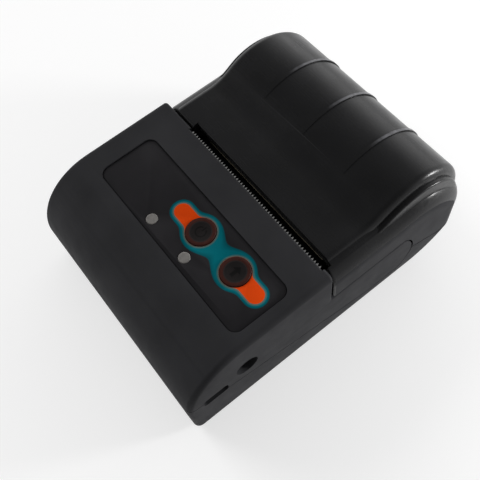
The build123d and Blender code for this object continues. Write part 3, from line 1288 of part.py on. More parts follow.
def battery_pack():
    """Flat rechargeable pack."""
    pack = block(-BATTERY_HALF, BATTERY_HALF, BATTERY_FRONT_Y, BATTERY_REAR_Y, BATTERY_Z,
                 BATTERY_Z + BATTERY_HEIGHT)
    return single(fillet(pack.edges().filter_by(Axis.X), BATTERY_EDGE_R))


def battery_contacts():
    """Three spring leaves from the main board to the rear end of the battery."""
    leaves = []
    near = BATTERY_REAR_Y + RUNNING_FIT
    for index in (-1, 0, 1):
        x = BATTERY_HALF / 2 + CONTACT_PITCH * index
        leaves.append(block(x - CONTACT_WIDTH / 2, x + CONTACT_WIDTH / 2, near,
                            near + CONTACT_THICKNESS, BATTERY_Z + BATTERY_HEIGHT / 3, BOARD_Z))
    return leaves


def screw(x, y, seat_z, radius, length, head_r, head_height, upwards):
    """Pan-head screw whose head seats at a height and whose shank runs up or down."""
    way = 1 if upwards else -1
    shank = post(x, y, radius, *sorted((seat_z, seat_z + way * length)))
    head = post(x, y, head_r, *sorted((seat_z, seat_z - way * head_height)))
    return single(shank + head)


def case_screws():
    """Screws from below that hold the casing together."""
    return [screw(x, y, top - BOSS_BITE, SCREW_R, SCREW_LENGTH, SCREW_HEAD_R, SCREW_HEAD_HEIGHT,
                  True) for x, y, top in CASE_SCREWS]


def mech_screws():
    """Screws that hold the mechanism's foot on the lower casing."""
    seat = MECH_FOOT_Z + CHASSIS_WALL
    return [screw(x, y, seat, SCREW_R, MECH_SCREW_LENGTH, SCREW_HEAD_R, SCREW_HEAD_HEIGHT, False)
            for x, y in MECH_SCREWS]


def board_screws():
    """Small screws of the main board and the key board."""
    main = [screw(x, y, BOARD_TOP_Z, SMALL_SCREW_R, SMALL_SCREW_LENGTH, SMALL_HEAD_R,
                  SMALL_HEAD_HEIGHT, False) for x, y in BOARD_SCREWS]
    under = KEY_BOARD_TOP_Z - KEY_BOARD_THICKNESS
    keys = [screw(x, y, under, SMALL_SCREW_R, SMALL_SCREW_LENGTH, SMALL_HEAD_R,
                  SMALL_HEAD_HEIGHT, True) for x, y in KEY_POSTS]
    return main + keys


def holder_screws():
    """Small screws that hold the platen holder under the cover."""
    seat = HOLDER_TOP_Z - HOLDER_BAR_HEIGHT
    return [screw(x, y, seat, SMALL_SCREW_R, SMALL_SCREW_LENGTH, SMALL_HEAD_R,
                  SMALL_HEAD_HEIGHT, True) for x, y in HOLDER_SCREWS]


def rubber_feet():
    """Four small pads under the corners."""
    return [single(post(x, y, FOOT_R, 0, BOTTOM_Z + FOOT_RECESS)) for x, y in FEET]


PIECES = {
    "base_shell": base_shell,
    "top_housing": top_housing,
    "control_overlay": control_overlay,
    "power_button": lambda: button(POWER_BUTTON_X),
    "feed_button": lambda: button(FEED_BUTTON_X),
    "power_switch_plunger": lambda: switch_plunger(POWER_BUTTON_X),
    "feed_switch_plunger": lambda: switch_plunger(FEED_BUTTON_X),
    "power_switch": lambda: push_switch(POWER_BUTTON_X),
    "feed_switch": lambda: push_switch(FEED_BUTTON_X),
    "power_led_lens": lambda: led_lens(POWER_LED_X),
    "status_led_lens": lambda: led_lens(STATUS_LED_X),
    "panel_leds": status_leds,
    "key_board": key_board,
    "tear_blade": tear_blade,
    "paper_cover": paper_cover,
    "hinge_pins": hinge_pins,
    "platen_holder": platen_holder,
    "platen_bushes": platen_bushes,
    "platen_shaft": platen_shaft,
    "platen_roller": platen_roller,
    "platen_gear": platen_gear,
    "compound_gear": compound_gear,
    "gear_axle": gear_axle,
    "motor_pinion": motor_pinion,
    "motor_shaft": motor_shaft,
    "drive_motor": drive_motor,
    "mech_chassis": mech_chassis,
    "head_pivot_pin": head_pivot_pin,
    "head_heatsink": head_heatsink,
    "print_head": print_head,
    "head_springs": head_springs,
    "head_ribbon": head_ribbon,
    "ribbon_connector": ribbon_connector,
    "paper_well": paper_well,
    "paper_sensor": paper_sensor,
    "main_board": main_board,
    "board_chips": board_chips,
    "radio_module": radio_module,
    "dc_jack": dc_jack,
    "usb_socket": usb_socket,
    "battery_pack": battery_pack,
    "battery_contacts": battery_contacts,
    "battery_door": battery_door,
    "case_screws": case_screws,
    "mech_screws": mech_screws,
    "board_screws": board_screws,
    "holder_screws": holder_screws,
    "rubber_feet": rubber_feet,
}

os.makedirs("parts", exist_ok=True)
for name, make in PIECES.items():
    made = make()
    piece = Compound(children=made) if isinstance(made, list) else made
    export_step(piece, f"parts/{name}.step")
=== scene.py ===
"""Looks of a portable receipt printer with a hinged paper cover, laid out as an add-on.

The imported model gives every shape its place. The operators below give every part its finish,
soften the edges of the casing, the control film and the key caps, make the feet and the screws,
and set up the stage.
"""
from math import cos, pi, radians, sin

import bmesh
import bpy
from bpy.props import FloatProperty, FloatVectorProperty, IntProperty, PointerProperty
from bpy.types import Operator, Panel, PropertyGroup
from mathutils import Matrix, Vector


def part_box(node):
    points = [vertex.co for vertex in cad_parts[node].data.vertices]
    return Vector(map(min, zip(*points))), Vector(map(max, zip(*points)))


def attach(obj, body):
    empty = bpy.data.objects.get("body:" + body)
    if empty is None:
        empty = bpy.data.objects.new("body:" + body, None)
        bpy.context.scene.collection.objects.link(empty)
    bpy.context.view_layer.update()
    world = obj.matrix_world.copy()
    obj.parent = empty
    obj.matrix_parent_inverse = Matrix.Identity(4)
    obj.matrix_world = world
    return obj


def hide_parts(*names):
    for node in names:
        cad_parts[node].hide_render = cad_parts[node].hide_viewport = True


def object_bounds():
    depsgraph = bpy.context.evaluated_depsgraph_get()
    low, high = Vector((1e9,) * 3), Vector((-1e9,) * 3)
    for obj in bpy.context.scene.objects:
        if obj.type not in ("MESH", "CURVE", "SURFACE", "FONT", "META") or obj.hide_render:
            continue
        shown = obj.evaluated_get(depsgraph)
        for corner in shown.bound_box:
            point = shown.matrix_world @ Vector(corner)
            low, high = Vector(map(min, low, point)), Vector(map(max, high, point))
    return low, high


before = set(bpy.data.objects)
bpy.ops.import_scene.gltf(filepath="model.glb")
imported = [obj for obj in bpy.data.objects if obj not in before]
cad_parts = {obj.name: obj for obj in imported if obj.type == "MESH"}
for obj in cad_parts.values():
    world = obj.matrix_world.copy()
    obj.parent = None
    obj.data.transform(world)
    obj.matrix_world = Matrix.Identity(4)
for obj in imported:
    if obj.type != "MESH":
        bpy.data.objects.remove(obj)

bl_info = {
    "name": "Receipt printer looks",
    "version": (1, 0, 0),
    "blender": (4, 5, 0),
    "location": "View3D > Sidebar > Printer",
    "description": "Finishes a portable receipt printer around its packed model",
    "category": "Object",
}

MM = 0.001
CAD_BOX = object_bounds()

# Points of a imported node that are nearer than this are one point.
SAME_POINT = 0.001 * MM
# The skirts' outer faces lie this near to the printer's sides, and no other face of the cover.
SKIRT_DEPTH = 1.2 * MM
# Faces across a softened edge, and round a screw.
EDGE_STEPS = 2
SCREW_STEPS = 24
# How far handling changes the roughness of moulded plastic, and worked lines that of metal.
HANDLED = 0.06
LINE_SHINE = 0.06
ABS_IOR = 1.53
# On the paper cover, in millimetres: the axis of the dome in Y and Z, the radii between which a
# ridge's painted highlight begins, half its width, and where along Y the painted highlight begins.
DOME_AXIS = (30.65, 21.8)
HIGHLIGHT_RADII = (20.68, 20.86)
HIGHLIGHT_HALF_WIDTH = 0.42
HIGHLIGHT_FROM = (30, 36)
# On the control film, in millimetres: the fillets of a tab at its ring and of the band at its
# waist, the darker edge of the band, and the pale line round the tabs.
TAB_FILLET = 1.6
BAND_FILLET = 2.0
BAND_EDGE = 0.35
RIM_WIDTH = 0.42
# Radius of a key's finger dish in millimetres.
DISH_RADIUS = 3.25

# The camera, fitted to the photograph: angles in degrees, lengths in millimetres, and the focal
# length in pixels of a picture 480 wide.
CAMERA_TURN, CAMERA_RISE, CAMERA_ROLL = 62.64, 63.01, -11.65
CAMERA_AIM = (6.39, -9.15, 20.0)
CAMERA_DISTANCE = 198.86
FOCAL_PIXELS = 669.59
PICTURE_WIDTH = 480
SENSOR_WIDTH = 36

# Each lamp: its setting of power, the way to it from the printer, its distance and its width in
# metres, and whether polished surfaces show it. The fill leaves no glare on the cover.
LAMPS = (("key_lamp", "key_light", (0.55, 0.82, 0.16), 0.36, 0.06, True),
         ("fill_lamp", "fill_light", (-0.82, -0.25, 0.5), 1.5, 0.8, False))
LAMP_AIM = (0, 0, 0.02)
# Width of the floor in metres.
FLOOR_SIZE = 6
# What the floor adds to the light that the eye gets from it, and how white the horizon shows.
FLOOR_GLOW = 0.56
SHOWN_WHITE = 0.9


def linear(code):
    """Linear colour of an sRGB hex value."""
    parts = [int(code[place:place + 2], 16) / 255 for place in (1, 3, 5)]
    return tuple(part / 12.92 if part <= 0.04045 else ((part + 0.055) / 1.055) ** 2.4
                 for part in parts)


def centre_of(node_name):
    """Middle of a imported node's box."""
    low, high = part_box(node_name)
    return (low + high) / 2


def top_of(node_name):
    """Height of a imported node's highest point."""
    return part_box(node_name)[1].z


class CasingSettings(PropertyGroup):
    """Sizes and colours of the moulded casing."""

    edge_radius: FloatProperty(
        name="Edge radius", description="Softening of the moulded edges", unit="LENGTH",
        default=0.22 * MM, min=0.05 * MM, max=0.6 * MM)
    edge_steps: IntProperty(
        name="Edge steps", description="Faces across a softened edge", default=EDGE_STEPS,
        min=1, max=4)
    grain: FloatProperty(
        name="Grain", description="Pitch of the spark-eroded mould texture", unit="LENGTH",
        default=0.35 * MM, min=0.1 * MM, max=2 * MM)
    casing_colour: FloatVectorProperty(
        name="Casing", description="Charcoal of the housing and base", subtype="COLOR",
        default=linear("#343436"), min=0, max=1)
    cover_colour: FloatVectorProperty(
        name="Cover", description="Black of the paper cover", subtype="COLOR",
        default=linear("#1e1e1f"), min=0, max=1)
    ridge_pitch: FloatProperty(
        name="Ridge pitch", description="Spacing of the three fine ridges on the dome",
        unit="LENGTH", default=17.2 * MM, min=5 * MM, max=25 * MM)


class PanelSettings(PropertyGroup):
    """Sizes and colours of the printed control film, its keys and its lamps."""

    film_edge: FloatProperty(
        name="Film edge", description="Softening of the film's edges", unit="LENGTH",
        default=0.08 * MM, min=0.01 * MM, max=0.15 * MM)
    key_edge: FloatProperty(
        name="Key edge", description="Softening of the keys' edges", unit="LENGTH",
        default=0.12 * MM, min=0.01 * MM, max=0.3 * MM)
    film_colour: FloatVectorProperty(
        name="Film", description="Dark ground of the control film", subtype="COLOR",
        default=linear("#282729"), min=0, max=1)
    band_colour: FloatVectorProperty(
        name="Band", description="Band printed round both keys", subtype="COLOR",
        default=linear("#006873"), min=0, max=1)
    rim_colour: FloatVectorProperty(
        name="Rim", description="Pale line round the tabs and keys", subtype="COLOR",
        default=linear("#5c736d"), min=0, max=1)
    tab_colour: FloatVectorProperty(
        name="Tab", description="Tab printed beside each key", subtype="COLOR",
        default=linear("#e84a0e"), min=0, max=1)
    key_colour: FloatVectorProperty(
        name="Key", description="Dished middle of each key", subtype="COLOR",
        default=linear("#1a1717"), min=0, max=1)
    ring_colour: FloatVectorProperty(
        name="Key ring", description="Ring round each key's dish", subtype="COLOR",
        default=linear("#3a1a13"), min=0, max=1)
    lens_colour: FloatVectorProperty(
        name="Lens", description="Milky plastic of the lamps' lenses", subtype="COLOR",
        default=linear("#7e7b78"), min=0, max=1)
    tab_reach: FloatProperty(
        name="Tab reach", description="From a key's middle to the middle of its tab's round end",
        unit="LENGTH", default=8.5 * MM, min=5 * MM, max=12 * MM)
    tab_radius: FloatProperty(
        name="Tab radius", description="Radius of a tab's round end", unit="LENGTH",
        default=2.5 * MM, min=1 * MM, max=4 * MM)
    ring_radius: FloatProperty(
        name="Ring radius", description="Outside of the coloured ring round a key",
        unit="LENGTH", default=4.48 * MM, min=4.3 * MM, max=5.5 * MM)
    band_radius: FloatProperty(
        name="Band radius", description="Outside of the band round a key", unit="LENGTH",
        default=5.85 * MM, min=5 * MM, max=8 * MM)
    band_margin: FloatProperty(
        name="Band margin", description="Band left round a tab", unit="LENGTH",
        default=1.25 * MM, min=0.5 * MM, max=3 * MM)
    band_blend: FloatProperty(
        name="Band blend", description="Reach of the waist that joins the two keys",
        unit="LENGTH", default=15.8 * MM, min=8 * MM, max=20 * MM)


class StageSettings(PropertyGroup):
    """Light, floor and camera."""

    key_light: FloatProperty(
        name="Key light", description="Power of the low lamp behind at the right", unit="POWER",
        default=0.9, min=0, max=50)
    fill_light: FloatProperty(
        name="Fill light", description="Power of the soft lamp at the left", unit="POWER",
        default=9.5, min=0, max=50)
    horizon: FloatProperty(
        name="Horizon", description="Strength of the pale surroundings near the floor",
        default=1.0, min=0, max=2)
    ceiling: FloatProperty(
        name="Ceiling", description="Strength of the dim surroundings overhead", default=0.25,
        min=0, max=1)
    floor_colour: FloatVectorProperty(
        name="Floor", description="Pale floor", subtype="COLOR",
        default=linear("#c8c8c8"), min=0, max=1)


# Modelling

def deselect():
    """Leaves nothing selected."""
    if bpy.context.object and bpy.context.object.mode != "OBJECT":
        bpy.ops.object.mode_set(mode="OBJECT")
    bpy.ops.object.select_all(action="DESELECT")


def take_up(piece):
    """Makes one object the only one selected and the active one."""
    deselect()
    piece.select_set(True)
    bpy.context.view_layer.objects.active = piece


def settle(piece, name):
    """Puts a piece's place into its mesh and names it."""
    take_up(piece)
    bpy.ops.object.transform_apply(location=True, rotation=True, scale=True)
    piece.name = name
    piece.data.name = name
    return piece


def merged_copy(node_name, name):
    """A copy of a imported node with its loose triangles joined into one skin."""
    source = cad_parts[node_name]
    piece = bpy.data.objects.new(name, source.data.copy())
    piece.data.name = name
    bpy.context.scene.collection.objects.link(piece)
    take_up(piece)
    if piece.data.has_custom_normals:
        bpy.ops.mesh.customdata_custom_splitnormals_clear()
    bpy.ops.object.mode_set(mode="EDIT")
    bpy.ops.mesh.select_all(action="SELECT")
    bpy.ops.mesh.remove_doubles(threshold=SAME_POINT)
    bpy.ops.mesh.dissolve_limited(angle_limit=radians(0.4), use_dissolve_boundaries=False)
    bpy.ops.object.mode_set(mode="OBJECT")
    return piece


def soften_edges(piece, radius, steps):
    """Rounds a piece's sharp edges a little, as a mould does."""
    take_up(piece)
    bevel = piece.modifiers.new("Mould radius", "BEVEL")
    bevel.width = radius
    bevel.segments = steps
    bevel.limit_method = "ANGLE"
    bevel.angle_limit = radians(35)
    bevel.use_clamp_overlap = True
    bevel.miter_outer = "MITER_ARC"
    bevel.harden_normals = False
    bpy.ops.object.modifier_apply(modifier=bevel.name)
    bpy.ops.object.mode_set(mode="EDIT")
    bpy.ops.mesh.select_all(action="SELECT")
    bpy.ops.mesh.dissolve_degenerate(threshold=0.0005 * MM)
    bpy.ops.object.mode_set(mode="OBJECT")
    bpy.ops.object.shade_smooth_by_angle(angle=radians(50), keep_sharp_edges=True)


def follow_curves(piece, node_name):
    """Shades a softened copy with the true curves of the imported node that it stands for."""
    take_up(piece)
    own = [corner.vector.copy() for corner in piece.data.corner_normals]
    transfer = piece.modifiers.new("True curves", "DATA_TRANSFER")
    transfer.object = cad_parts[node_name]
    transfer.use_loop_data = True
    transfer.data_types_loops = {"CUSTOM_NORMAL"}
    transfer.loop_mapping = "POLYINTERP_NEAREST"
    bpy.ops.object.modifier_apply(modifier=transfer.name)
    true = [corner.vector.copy() for corner in piece.data.corner_normals]
    # A normal that came from the face round a corner would streak across a long face.
    most_turned = radians(16)
    for face in piece.data.polygons:
        for corner in face.loop_indices:
            if true[corner].angle(face.normal) > most_turned:
                true[corner] = own[corner]
    piece.data.normals_split_custom_set(true)


def solids_of(node_name):
    """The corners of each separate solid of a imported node, from the left front to the rear."""
    work = bmesh.new()
    work.from_mesh(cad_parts[node_name].data)
    bmesh.ops.remove_doubles(work, verts=work.verts, dist=SAME_POINT)
    left = set(work.verts)
    solids = []
    while left:
        queue = [left.pop()]
        corners = []
        while queue:
            corner = queue.pop()
            corners.append(corner.co.copy())
            for edge in corner.link_edges:
                other = edge.other_vert(corner)
                if other in left:
                    left.remove(other)
                    queue.append(other)
        solids.append(corners)
    work.free()
    return sorted(solids, key=lambda corners: tuple(round(v, 4) for v in middle_of(corners)))


def middle_of(corners):
    """Middle of the box round some points."""
    return Vector([(min(point[axis] for point in corners) + max(point[axis] for point in corners))
                   / 2 for axis in range(3)])


def turned_piece(name, centre, outline):
    """A closed piece drawn as points of radius and height and spun round an upright axis."""
    deselect()
    first = Vector((centre.x + outline[0][0], centre.y, outline[0][1]))
    bpy.ops.mesh.primitive_plane_add(size=0.1 * MM, location=first)
    bpy.ops.object.mode_set(mode="EDIT")
    bpy.ops.mesh.select_mode(type="VERT")
    bpy.ops.mesh.select_all(action="SELECT")
    bpy.ops.mesh.merge(type="CENTER")
    for (radius, height), (wider, higher) in zip(outline, outline[1:]):
        bpy.ops.mesh.extrude_region_move(
            TRANSFORM_OT_translate={"value": (wider - radius, 0, higher - height)})
    bpy.ops.mesh.select_all(action="SELECT")
    bpy.ops.mesh.spin(steps=SCREW_STEPS, angle=2 * pi, center=(centre.x, centre.y, 0),
                      axis=(0, 0, 1))
    bpy.ops.mesh.select_all(action="SELECT")
    bpy.ops.mesh.remove_doubles(threshold=0.002 * MM)
    bpy.ops.mesh.normals_make_consistent(inside=False)
    bpy.ops.object.mode_set(mode="OBJECT")
    return settle(bpy.context.object, name)


def sink_cross(piece, centre, face_height, reach):
    """Presses a cross recess into a screw's head, its slots sized by the head's radius."""
    for turn in (0, pi / 2):
        deselect()
        bpy.ops.mesh.primitive_cube_add(size=1, location=(centre.x, centre.y, face_height),
                                        rotation=(0, 0, turn + pi / 5))
        cutter = bpy.context.object
        cutter.scale = (reach * 1.25, reach * 0.3, reach * 0.75)
        bpy.ops.object.transform_apply(location=False, rotation=False, scale=True)
        take_up(piece)
        cut = piece.modifiers.new("Cross", "BOOLEAN")
        cut.operation = "DIFFERENCE"
        cut.solver = "EXACT"
        cut.object = cutter
        bpy.ops.object.modifier_apply(modifier=cut.name)
        bpy.data.objects.remove(cutter)


def screw_at(name, corners):
    """A pan-head tapping screw with a cross recess, in the place of one packed screw."""
    centre = middle_of(corners)
    radii = [(Vector(corner.xy) - Vector(centre.xy)).length for corner in corners]
    head, shank = max(radii), min(radii)
    rims = [corner.z for corner, radius in zip(corners, radii) if radius > (head + shank) / 2]
    tips = [corner.z for corner, radius in zip(corners, radii) if radius < (head + shank) / 2]
    way = 1 if sum(tips) / len(tips) > sum(rims) / len(rims) else -1
    face, seat = sorted(rims, key=lambda height: way * height)[::len(rims) - 1]
    thick = abs(seat - face)
    length = max(abs(height - face) for height in tips)
    pitch = shank * 0.75
    core = shank * 0.8
    # The outline as radius and depth below the head's face: head, thread by thread, and tip.
    profile = [(0, 0), (head * 0.7, 0), (head * 0.9, thick * 0.12), (head, thick * 0.45),
               (head, thick), (core, thick)]
    depth = thick + pitch * 0.5
    while depth + pitch < length - shank:
        profile += [(core, depth), (shank, depth + pitch * 0.35), (core, depth + pitch * 0.7)]
        depth += pitch
    profile += [(shank * 0.7, length - shank * 0.6), (0, length)]
    piece = turned_piece(name, centre, [(radius, face + way * down) for radius, down in profile])
    sink_cross(piece, centre, face, head)
    take_up(piece)
    bpy.ops.object.shade_smooth_by_angle(angle=radians(32), keep_sharp_edges=True)
    return piece


def foot_at(name, corners):
    """A stick-on rubber pad: a rounded rim round a shallow hollow in its underside."""
    centre = middle_of(corners)
    low, high = min(corner.z for corner in corners), max(corner.z for corner in corners)
    radius = max((Vector(corner.xy) - Vector(centre.xy)).length for corner in corners)
    deselect()
    bpy.ops.mesh.primitive_cylinder_add(vertices=64, radius=radius, depth=high - low,
                                        location=(centre.x, centre.y, (low + high) / 2))
    piece = bpy.context.object
    bpy.ops.object.mode_set(mode="EDIT")
    bpy.ops.mesh.select_all(action="DESELECT")
    bpy.ops.object.mode_set(mode="OBJECT")
    for face in piece.data.polygons:
        face.select = face.normal.z < -0.9
    bpy.ops.object.mode_set(mode="EDIT")
    bpy.ops.mesh.select_mode(type="FACE")
    # First the flat rim, then the sloping wall of the hollow.
    bpy.ops.mesh.inset(thickness=radius * 0.3)
    bpy.ops.mesh.inset(thickness=radius * 0.12, depth=-radius * 0.1)
    bpy.ops.object.mode_set(mode="OBJECT")
    soften_edges(piece, radius * 0.04, 3)
    return settle(piece, name)


def copy_to(piece, name, shift):
    """A copy of a finished piece with its own mesh, moved in its mesh."""
    other = piece.copy()
    other.data = piece.data.copy()
    bpy.context.scene.collection.objects.link(other)
    other.data.transform(Matrix.Translation(shift))
    other.name = name
    other.data.name = name
    return other


# Materials

def fill(tree, node, sockets):
    """Fills or links a node's sockets."""
    for socket, value in sockets.items():
        if isinstance(value, bpy.types.NodeSocket):
            tree.links.new(value, node.inputs[socket])
        else:
            node.inputs[socket].default_value = value


def add(tree, kind, sockets=None, give=0, **settings):
    """Adds a node with its settings, fills or links its sockets, and gives one of its outputs."""
    node = tree.nodes.new("ShaderNode" + kind)
    for name, value in settings.items():
        setattr(node, name, value)
    fill(tree, node, sockets or {})
    return node.outputs[give]


def start_finish(name):
    """A material with its shader and its place on the piece in millimetres."""
    material = bpy.data.materials.new(name)
    material.use_nodes = True
    tree = material.node_tree
    place = add(tree, "VectorMath", {0: add(tree, "TexCoord", give="Object"), "Scale": 1 / MM},
                operation="SCALE")
    return material, tree, tree.nodes["Principled BSDF"], place


def shade_of(colour, share):
    """The same colour, darker or lighter."""
    return tuple(min(1.0, part * share) for part in colour[:3])


def coats(tree, ground, *layers):
    """Lays colours over a ground colour, each one where its own mask is 1."""
    # A Mix node names its sockets for colours as it does those for numbers, so they are numbered.
    mask_socket, under, over, mixed = 0, 6, 7, 2
    for mask, colour in layers:
        if not isinstance(ground, bpy.types.NodeSocket):
            ground = (*ground[:3], 1.0)
        ground = add(tree, "Mix", {mask_socket: mask, under: ground, over: (*colour[:3], 1.0)},
                     give=mixed, data_type="RGBA")
    return ground


def clouds(tree, place, pitch, low=0.0, high=1.0, detail=4.0, crumble=0.5, thin=0.3, thick=0.7):
    """A value that drifts from low to high in clouds about so many millimetres apart.

    Thin and thick are where in the noise it is lowest and highest; crumble breaks the edges up.
    """
    lumps = add(tree, "TexNoise", {"Vector": place, "Scale": 1 / pitch, "Detail": detail,
                                   "Roughness": crumble})
    return add(tree, "MapRange", {"Value": lumps, "From Min": thin, "From Max": thick,
                                  "To Min": low, "To Max": high})


def grained(tree, place, pitch, depth, crumble=0.5):
    """A relief of fine lumps, their pitch and depth in millimetres."""
    lumps = add(tree, "TexNoise", {"Vector": place, "Scale": 1 / pitch, "Detail": 2.0,
                                   "Roughness": crumble})
    return add(tree, "Bump", {"Height": lumps, "Distance": depth * MM})


def stripe(tree, value, middle, half_width):
    """Distance outside a stripe, a band of values each side of its middle."""
    off = add(tree, "Math", {0: value, 1: middle}, operation="SUBTRACT")
    off = add(tree, "Math", {0: off}, operation="ABSOLUTE")
    return add(tree, "Math", {0: off, 1: half_width}, operation="SUBTRACT")


def inked(tree, distance, edge=0.06):
    """1 where a distance is below zero, with an edge as fine as screen printing gives."""
    return add(tree, "MapRange", {"Value": distance, "From Min": -edge, "From Max": edge,
                                  "To Min": 1.0, "To Max": 0.0})


def seen_rays(tree):
    """1 for rays that show the surroundings to the eye, straight or in metal and glass."""
    path = add(tree, "LightPath").node.outputs
    mirrored = add(tree, "Math", {0: path["Is Glossy Ray"], 1: path["Is Transmission Ray"]},
                   operation="MAXIMUM")
    return add(tree, "Math", {0: path["Is Camera Ray"], 1: mirrored}, operation="MAXIMUM")


def moulded_plastic(name, colour, roughness, grain, relief, mottle=0.12):
    """Moulded thermoplastic: the mould's grain, faint flow marks and uneven handling shine."""
    material, tree, shader, place = start_finish(name)
    fill(tree, shader, {
        "Base Color": coats(tree, shade_of(colour, 1 - mottle),
                            (clouds(tree, place, 14.0), shade_of(colour, 1 + mottle))),
        "Roughness": clouds(tree, place, 5.0, roughness - HANDLED, roughness + HANDLED,
                            detail=6.0, crumble=0.6),
        "Normal": grained(tree, place, grain, relief, crumble=0.6)})
    return material


def casing_plastic():
    """Injection-moulded ABS from a spark-eroded mould: a dry, even, fine-grained charcoal."""
    settings = bpy.context.scene.printer_casing
    # The real grain is about 0.1 mm; it is drawn coarser so that it shows.
    material = moulded_plastic("moulded_abs_charcoal", settings.casing_colour,
                               0.56, settings.grain / MM, 0.012)
    tree = material.node_tree
    fill(tree, tree.nodes["Principled BSDF"], {"IOR": ABS_IOR, "Specular IOR Level": 0.04})
    return material


def cover_plastic():
    """ABS from a polished mould: near black, soft shine, hairlines, smudges, painted ridge
    highlights.
    """
    settings = bpy.context.scene.printer_casing
    material, tree, shader, place = start_finish("polished_abs_black")
    colour = settings.cover_colour
    # A pale highlight is painted on the tops of the three ridges, towards the rear of the dome.
    pitch = settings.ridge_pitch / MM
    across, along, _ = add(tree, "SeparateXYZ", {0: place}).node.outputs
    section = add(tree, "VectorMath", {0: place, 1: (0, 1, 1)}, operation="MULTIPLY")
    from_axis = add(tree, "VectorMath", {0: section, 1: (0, *DOME_AXIS)}, give="Value",
                    operation="DISTANCE")
    from_ridge = add(tree, "Math", {0: across, 1: pitch / 2, 2: -pitch / 2}, operation="WRAP")
    painted_highlight = inked(tree, stripe(tree, from_ridge, 0.0, HIGHLIGHT_HALF_WIDTH), 0.08)
    for mask in (
            add(tree, "MapRange", {"Value": from_axis, "From Min": HIGHLIGHT_RADII[0],
                                   "From Max": HIGHLIGHT_RADII[1]}),
            inked(tree, stripe(tree, across, 0.0, 1.3 * pitch), 0.1),
            add(tree, "MapRange", {"Value": along, "From Min": HIGHLIGHT_FROM[0],
                                   "From Max": HIGHLIGHT_FROM[1]}),
            clouds(tree, place, 1.2, 0.35, 0.9)):
        painted_highlight = add(tree, "Math", {0: painted_highlight, 1: mask}, operation="MULTIPLY")
    # Hairlines run across the cover; they are drawn 0.3 mm apart, wider than real ones.
    stretched = add(tree, "Mapping", {"Vector": place, "Scale": (0.05, 3.0, 1.5)},
                    vector_type="POINT")
    smudges = clouds(tree, place, 7.0, -0.06, 0.08, detail=6.0, crumble=0.62)
    hairlines = clouds(tree, stretched, 1.0, 0.22, 0.28, detail=3.0, crumble=0.7)
    fill(tree, shader, {
        "Base Color": coats(tree, shade_of(colour, 0.85),
                            (clouds(tree, place, 18.0), shade_of(colour, 1.15)),
                            # The pale colour of the painted highlight on the ridges.
                            (painted_highlight, linear("#6e6e72"))),
        "Roughness": add(tree, "Math", {0: smudges, 1: hairlines}, operation="ADD"),
        "Normal": grained(tree, place, 1.6, 0.01),
        "IOR": ABS_IOR, "Specular IOR Level": 0.16})
    return material


def distance_to_tab(tree, flat, middle, end_x):
    """Distance in millimetres from the line between a key's middle and its tab's end."""
    along = add(tree, "Clamp", {"Value": add(tree, "SeparateXYZ", {0: flat}),
                                "Min": min(middle[0], end_x), "Max": max(middle[0], end_x)})
    nearest = add(tree, "CombineXYZ", {0: along, 1: middle[1], 2: 0.0})
    return add(tree, "VectorMath", {0: flat, 1: nearest}, give="Value", operation="DISTANCE")


def panel_film():
    """Hard-coated polyester film, screen printed: matt dark ground, flat inks, a fine tooth."""
    settings = bpy.context.scene.printer_panel
    material, tree, shader, place = start_finish("printed_polyester_film")
    flat = add(tree, "VectorMath", {0: place, 1: (1, 1, 0)}, operation="MULTIPLY")
    tabs, bands, shapes = [], [], []
    for key, side in ((centre_of("power_button"), -1), (centre_of("feed_button"), 1)):
        middle = (key.x / MM, key.y / MM, 0)
        end_x = middle[0] + side * settings.tab_reach / MM
        from_key = add(tree, "VectorMath", {0: flat, 1: middle}, give="Value",
                       operation="DISTANCE")
        tab = add(tree, "Math", {0: distance_to_tab(tree, flat, middle, end_x),
                                 1: settings.tab_radius / MM}, operation="SUBTRACT")
        ring = add(tree, "Math", {0: from_key, 1: settings.ring_radius / MM},
                   operation="SUBTRACT")
        bands.append(add(tree, "Math", {0: from_key, 1: settings.band_radius / MM},
                         operation="SUBTRACT"))
        tabs.append(tab)
        shapes.append(add(tree, "Math", {0: tab, 1: ring, 2: TAB_FILLET},
                          operation="SMOOTH_MIN"))
    tab = add(tree, "Math", {0: shapes[0], 1: shapes[1]}, operation="MINIMUM")
    waist = add(tree, "Math", {0: bands[0], 1: bands[1], 2: settings.band_blend / MM},
                operation="SMOOTH_MIN")
    ends = add(tree, "Math", {0: add(tree, "Math", {0: tabs[0], 1: tabs[1]},
                                     operation="MINIMUM"),
                              1: settings.band_margin / MM}, operation="SUBTRACT")
    band = add(tree, "Math", {0: waist, 1: ends, 2: BAND_FILLET}, operation="SMOOTH_MIN")
    band_inside = add(tree, "Math", {0: band, 1: BAND_EDGE}, operation="ADD")
    rim = add(tree, "Math", {0: tab, 1: RIM_WIDTH}, operation="SUBTRACT")
    fill(tree, shader, {
        "Base Color": coats(
            tree, shade_of(settings.film_colour, 0.9),
            (clouds(tree, place, 9.0, detail=5.0), shade_of(settings.film_colour, 1.12)),
            (inked(tree, band), shade_of(settings.band_colour, 0.55)),
            (inked(tree, band_inside, 0.3), settings.band_colour),
            (inked(tree, rim, 0.22), settings.rim_colour),
            (inked(tree, tab), settings.tab_colour)),
        "Roughness": clouds(tree, place, 6.0, 0.42, 0.54, detail=6.0, crumble=0.6),
        "Normal": grained(tree, place, 0.4, 0.004),
        "Specular IOR Level": 0.05})
    return material


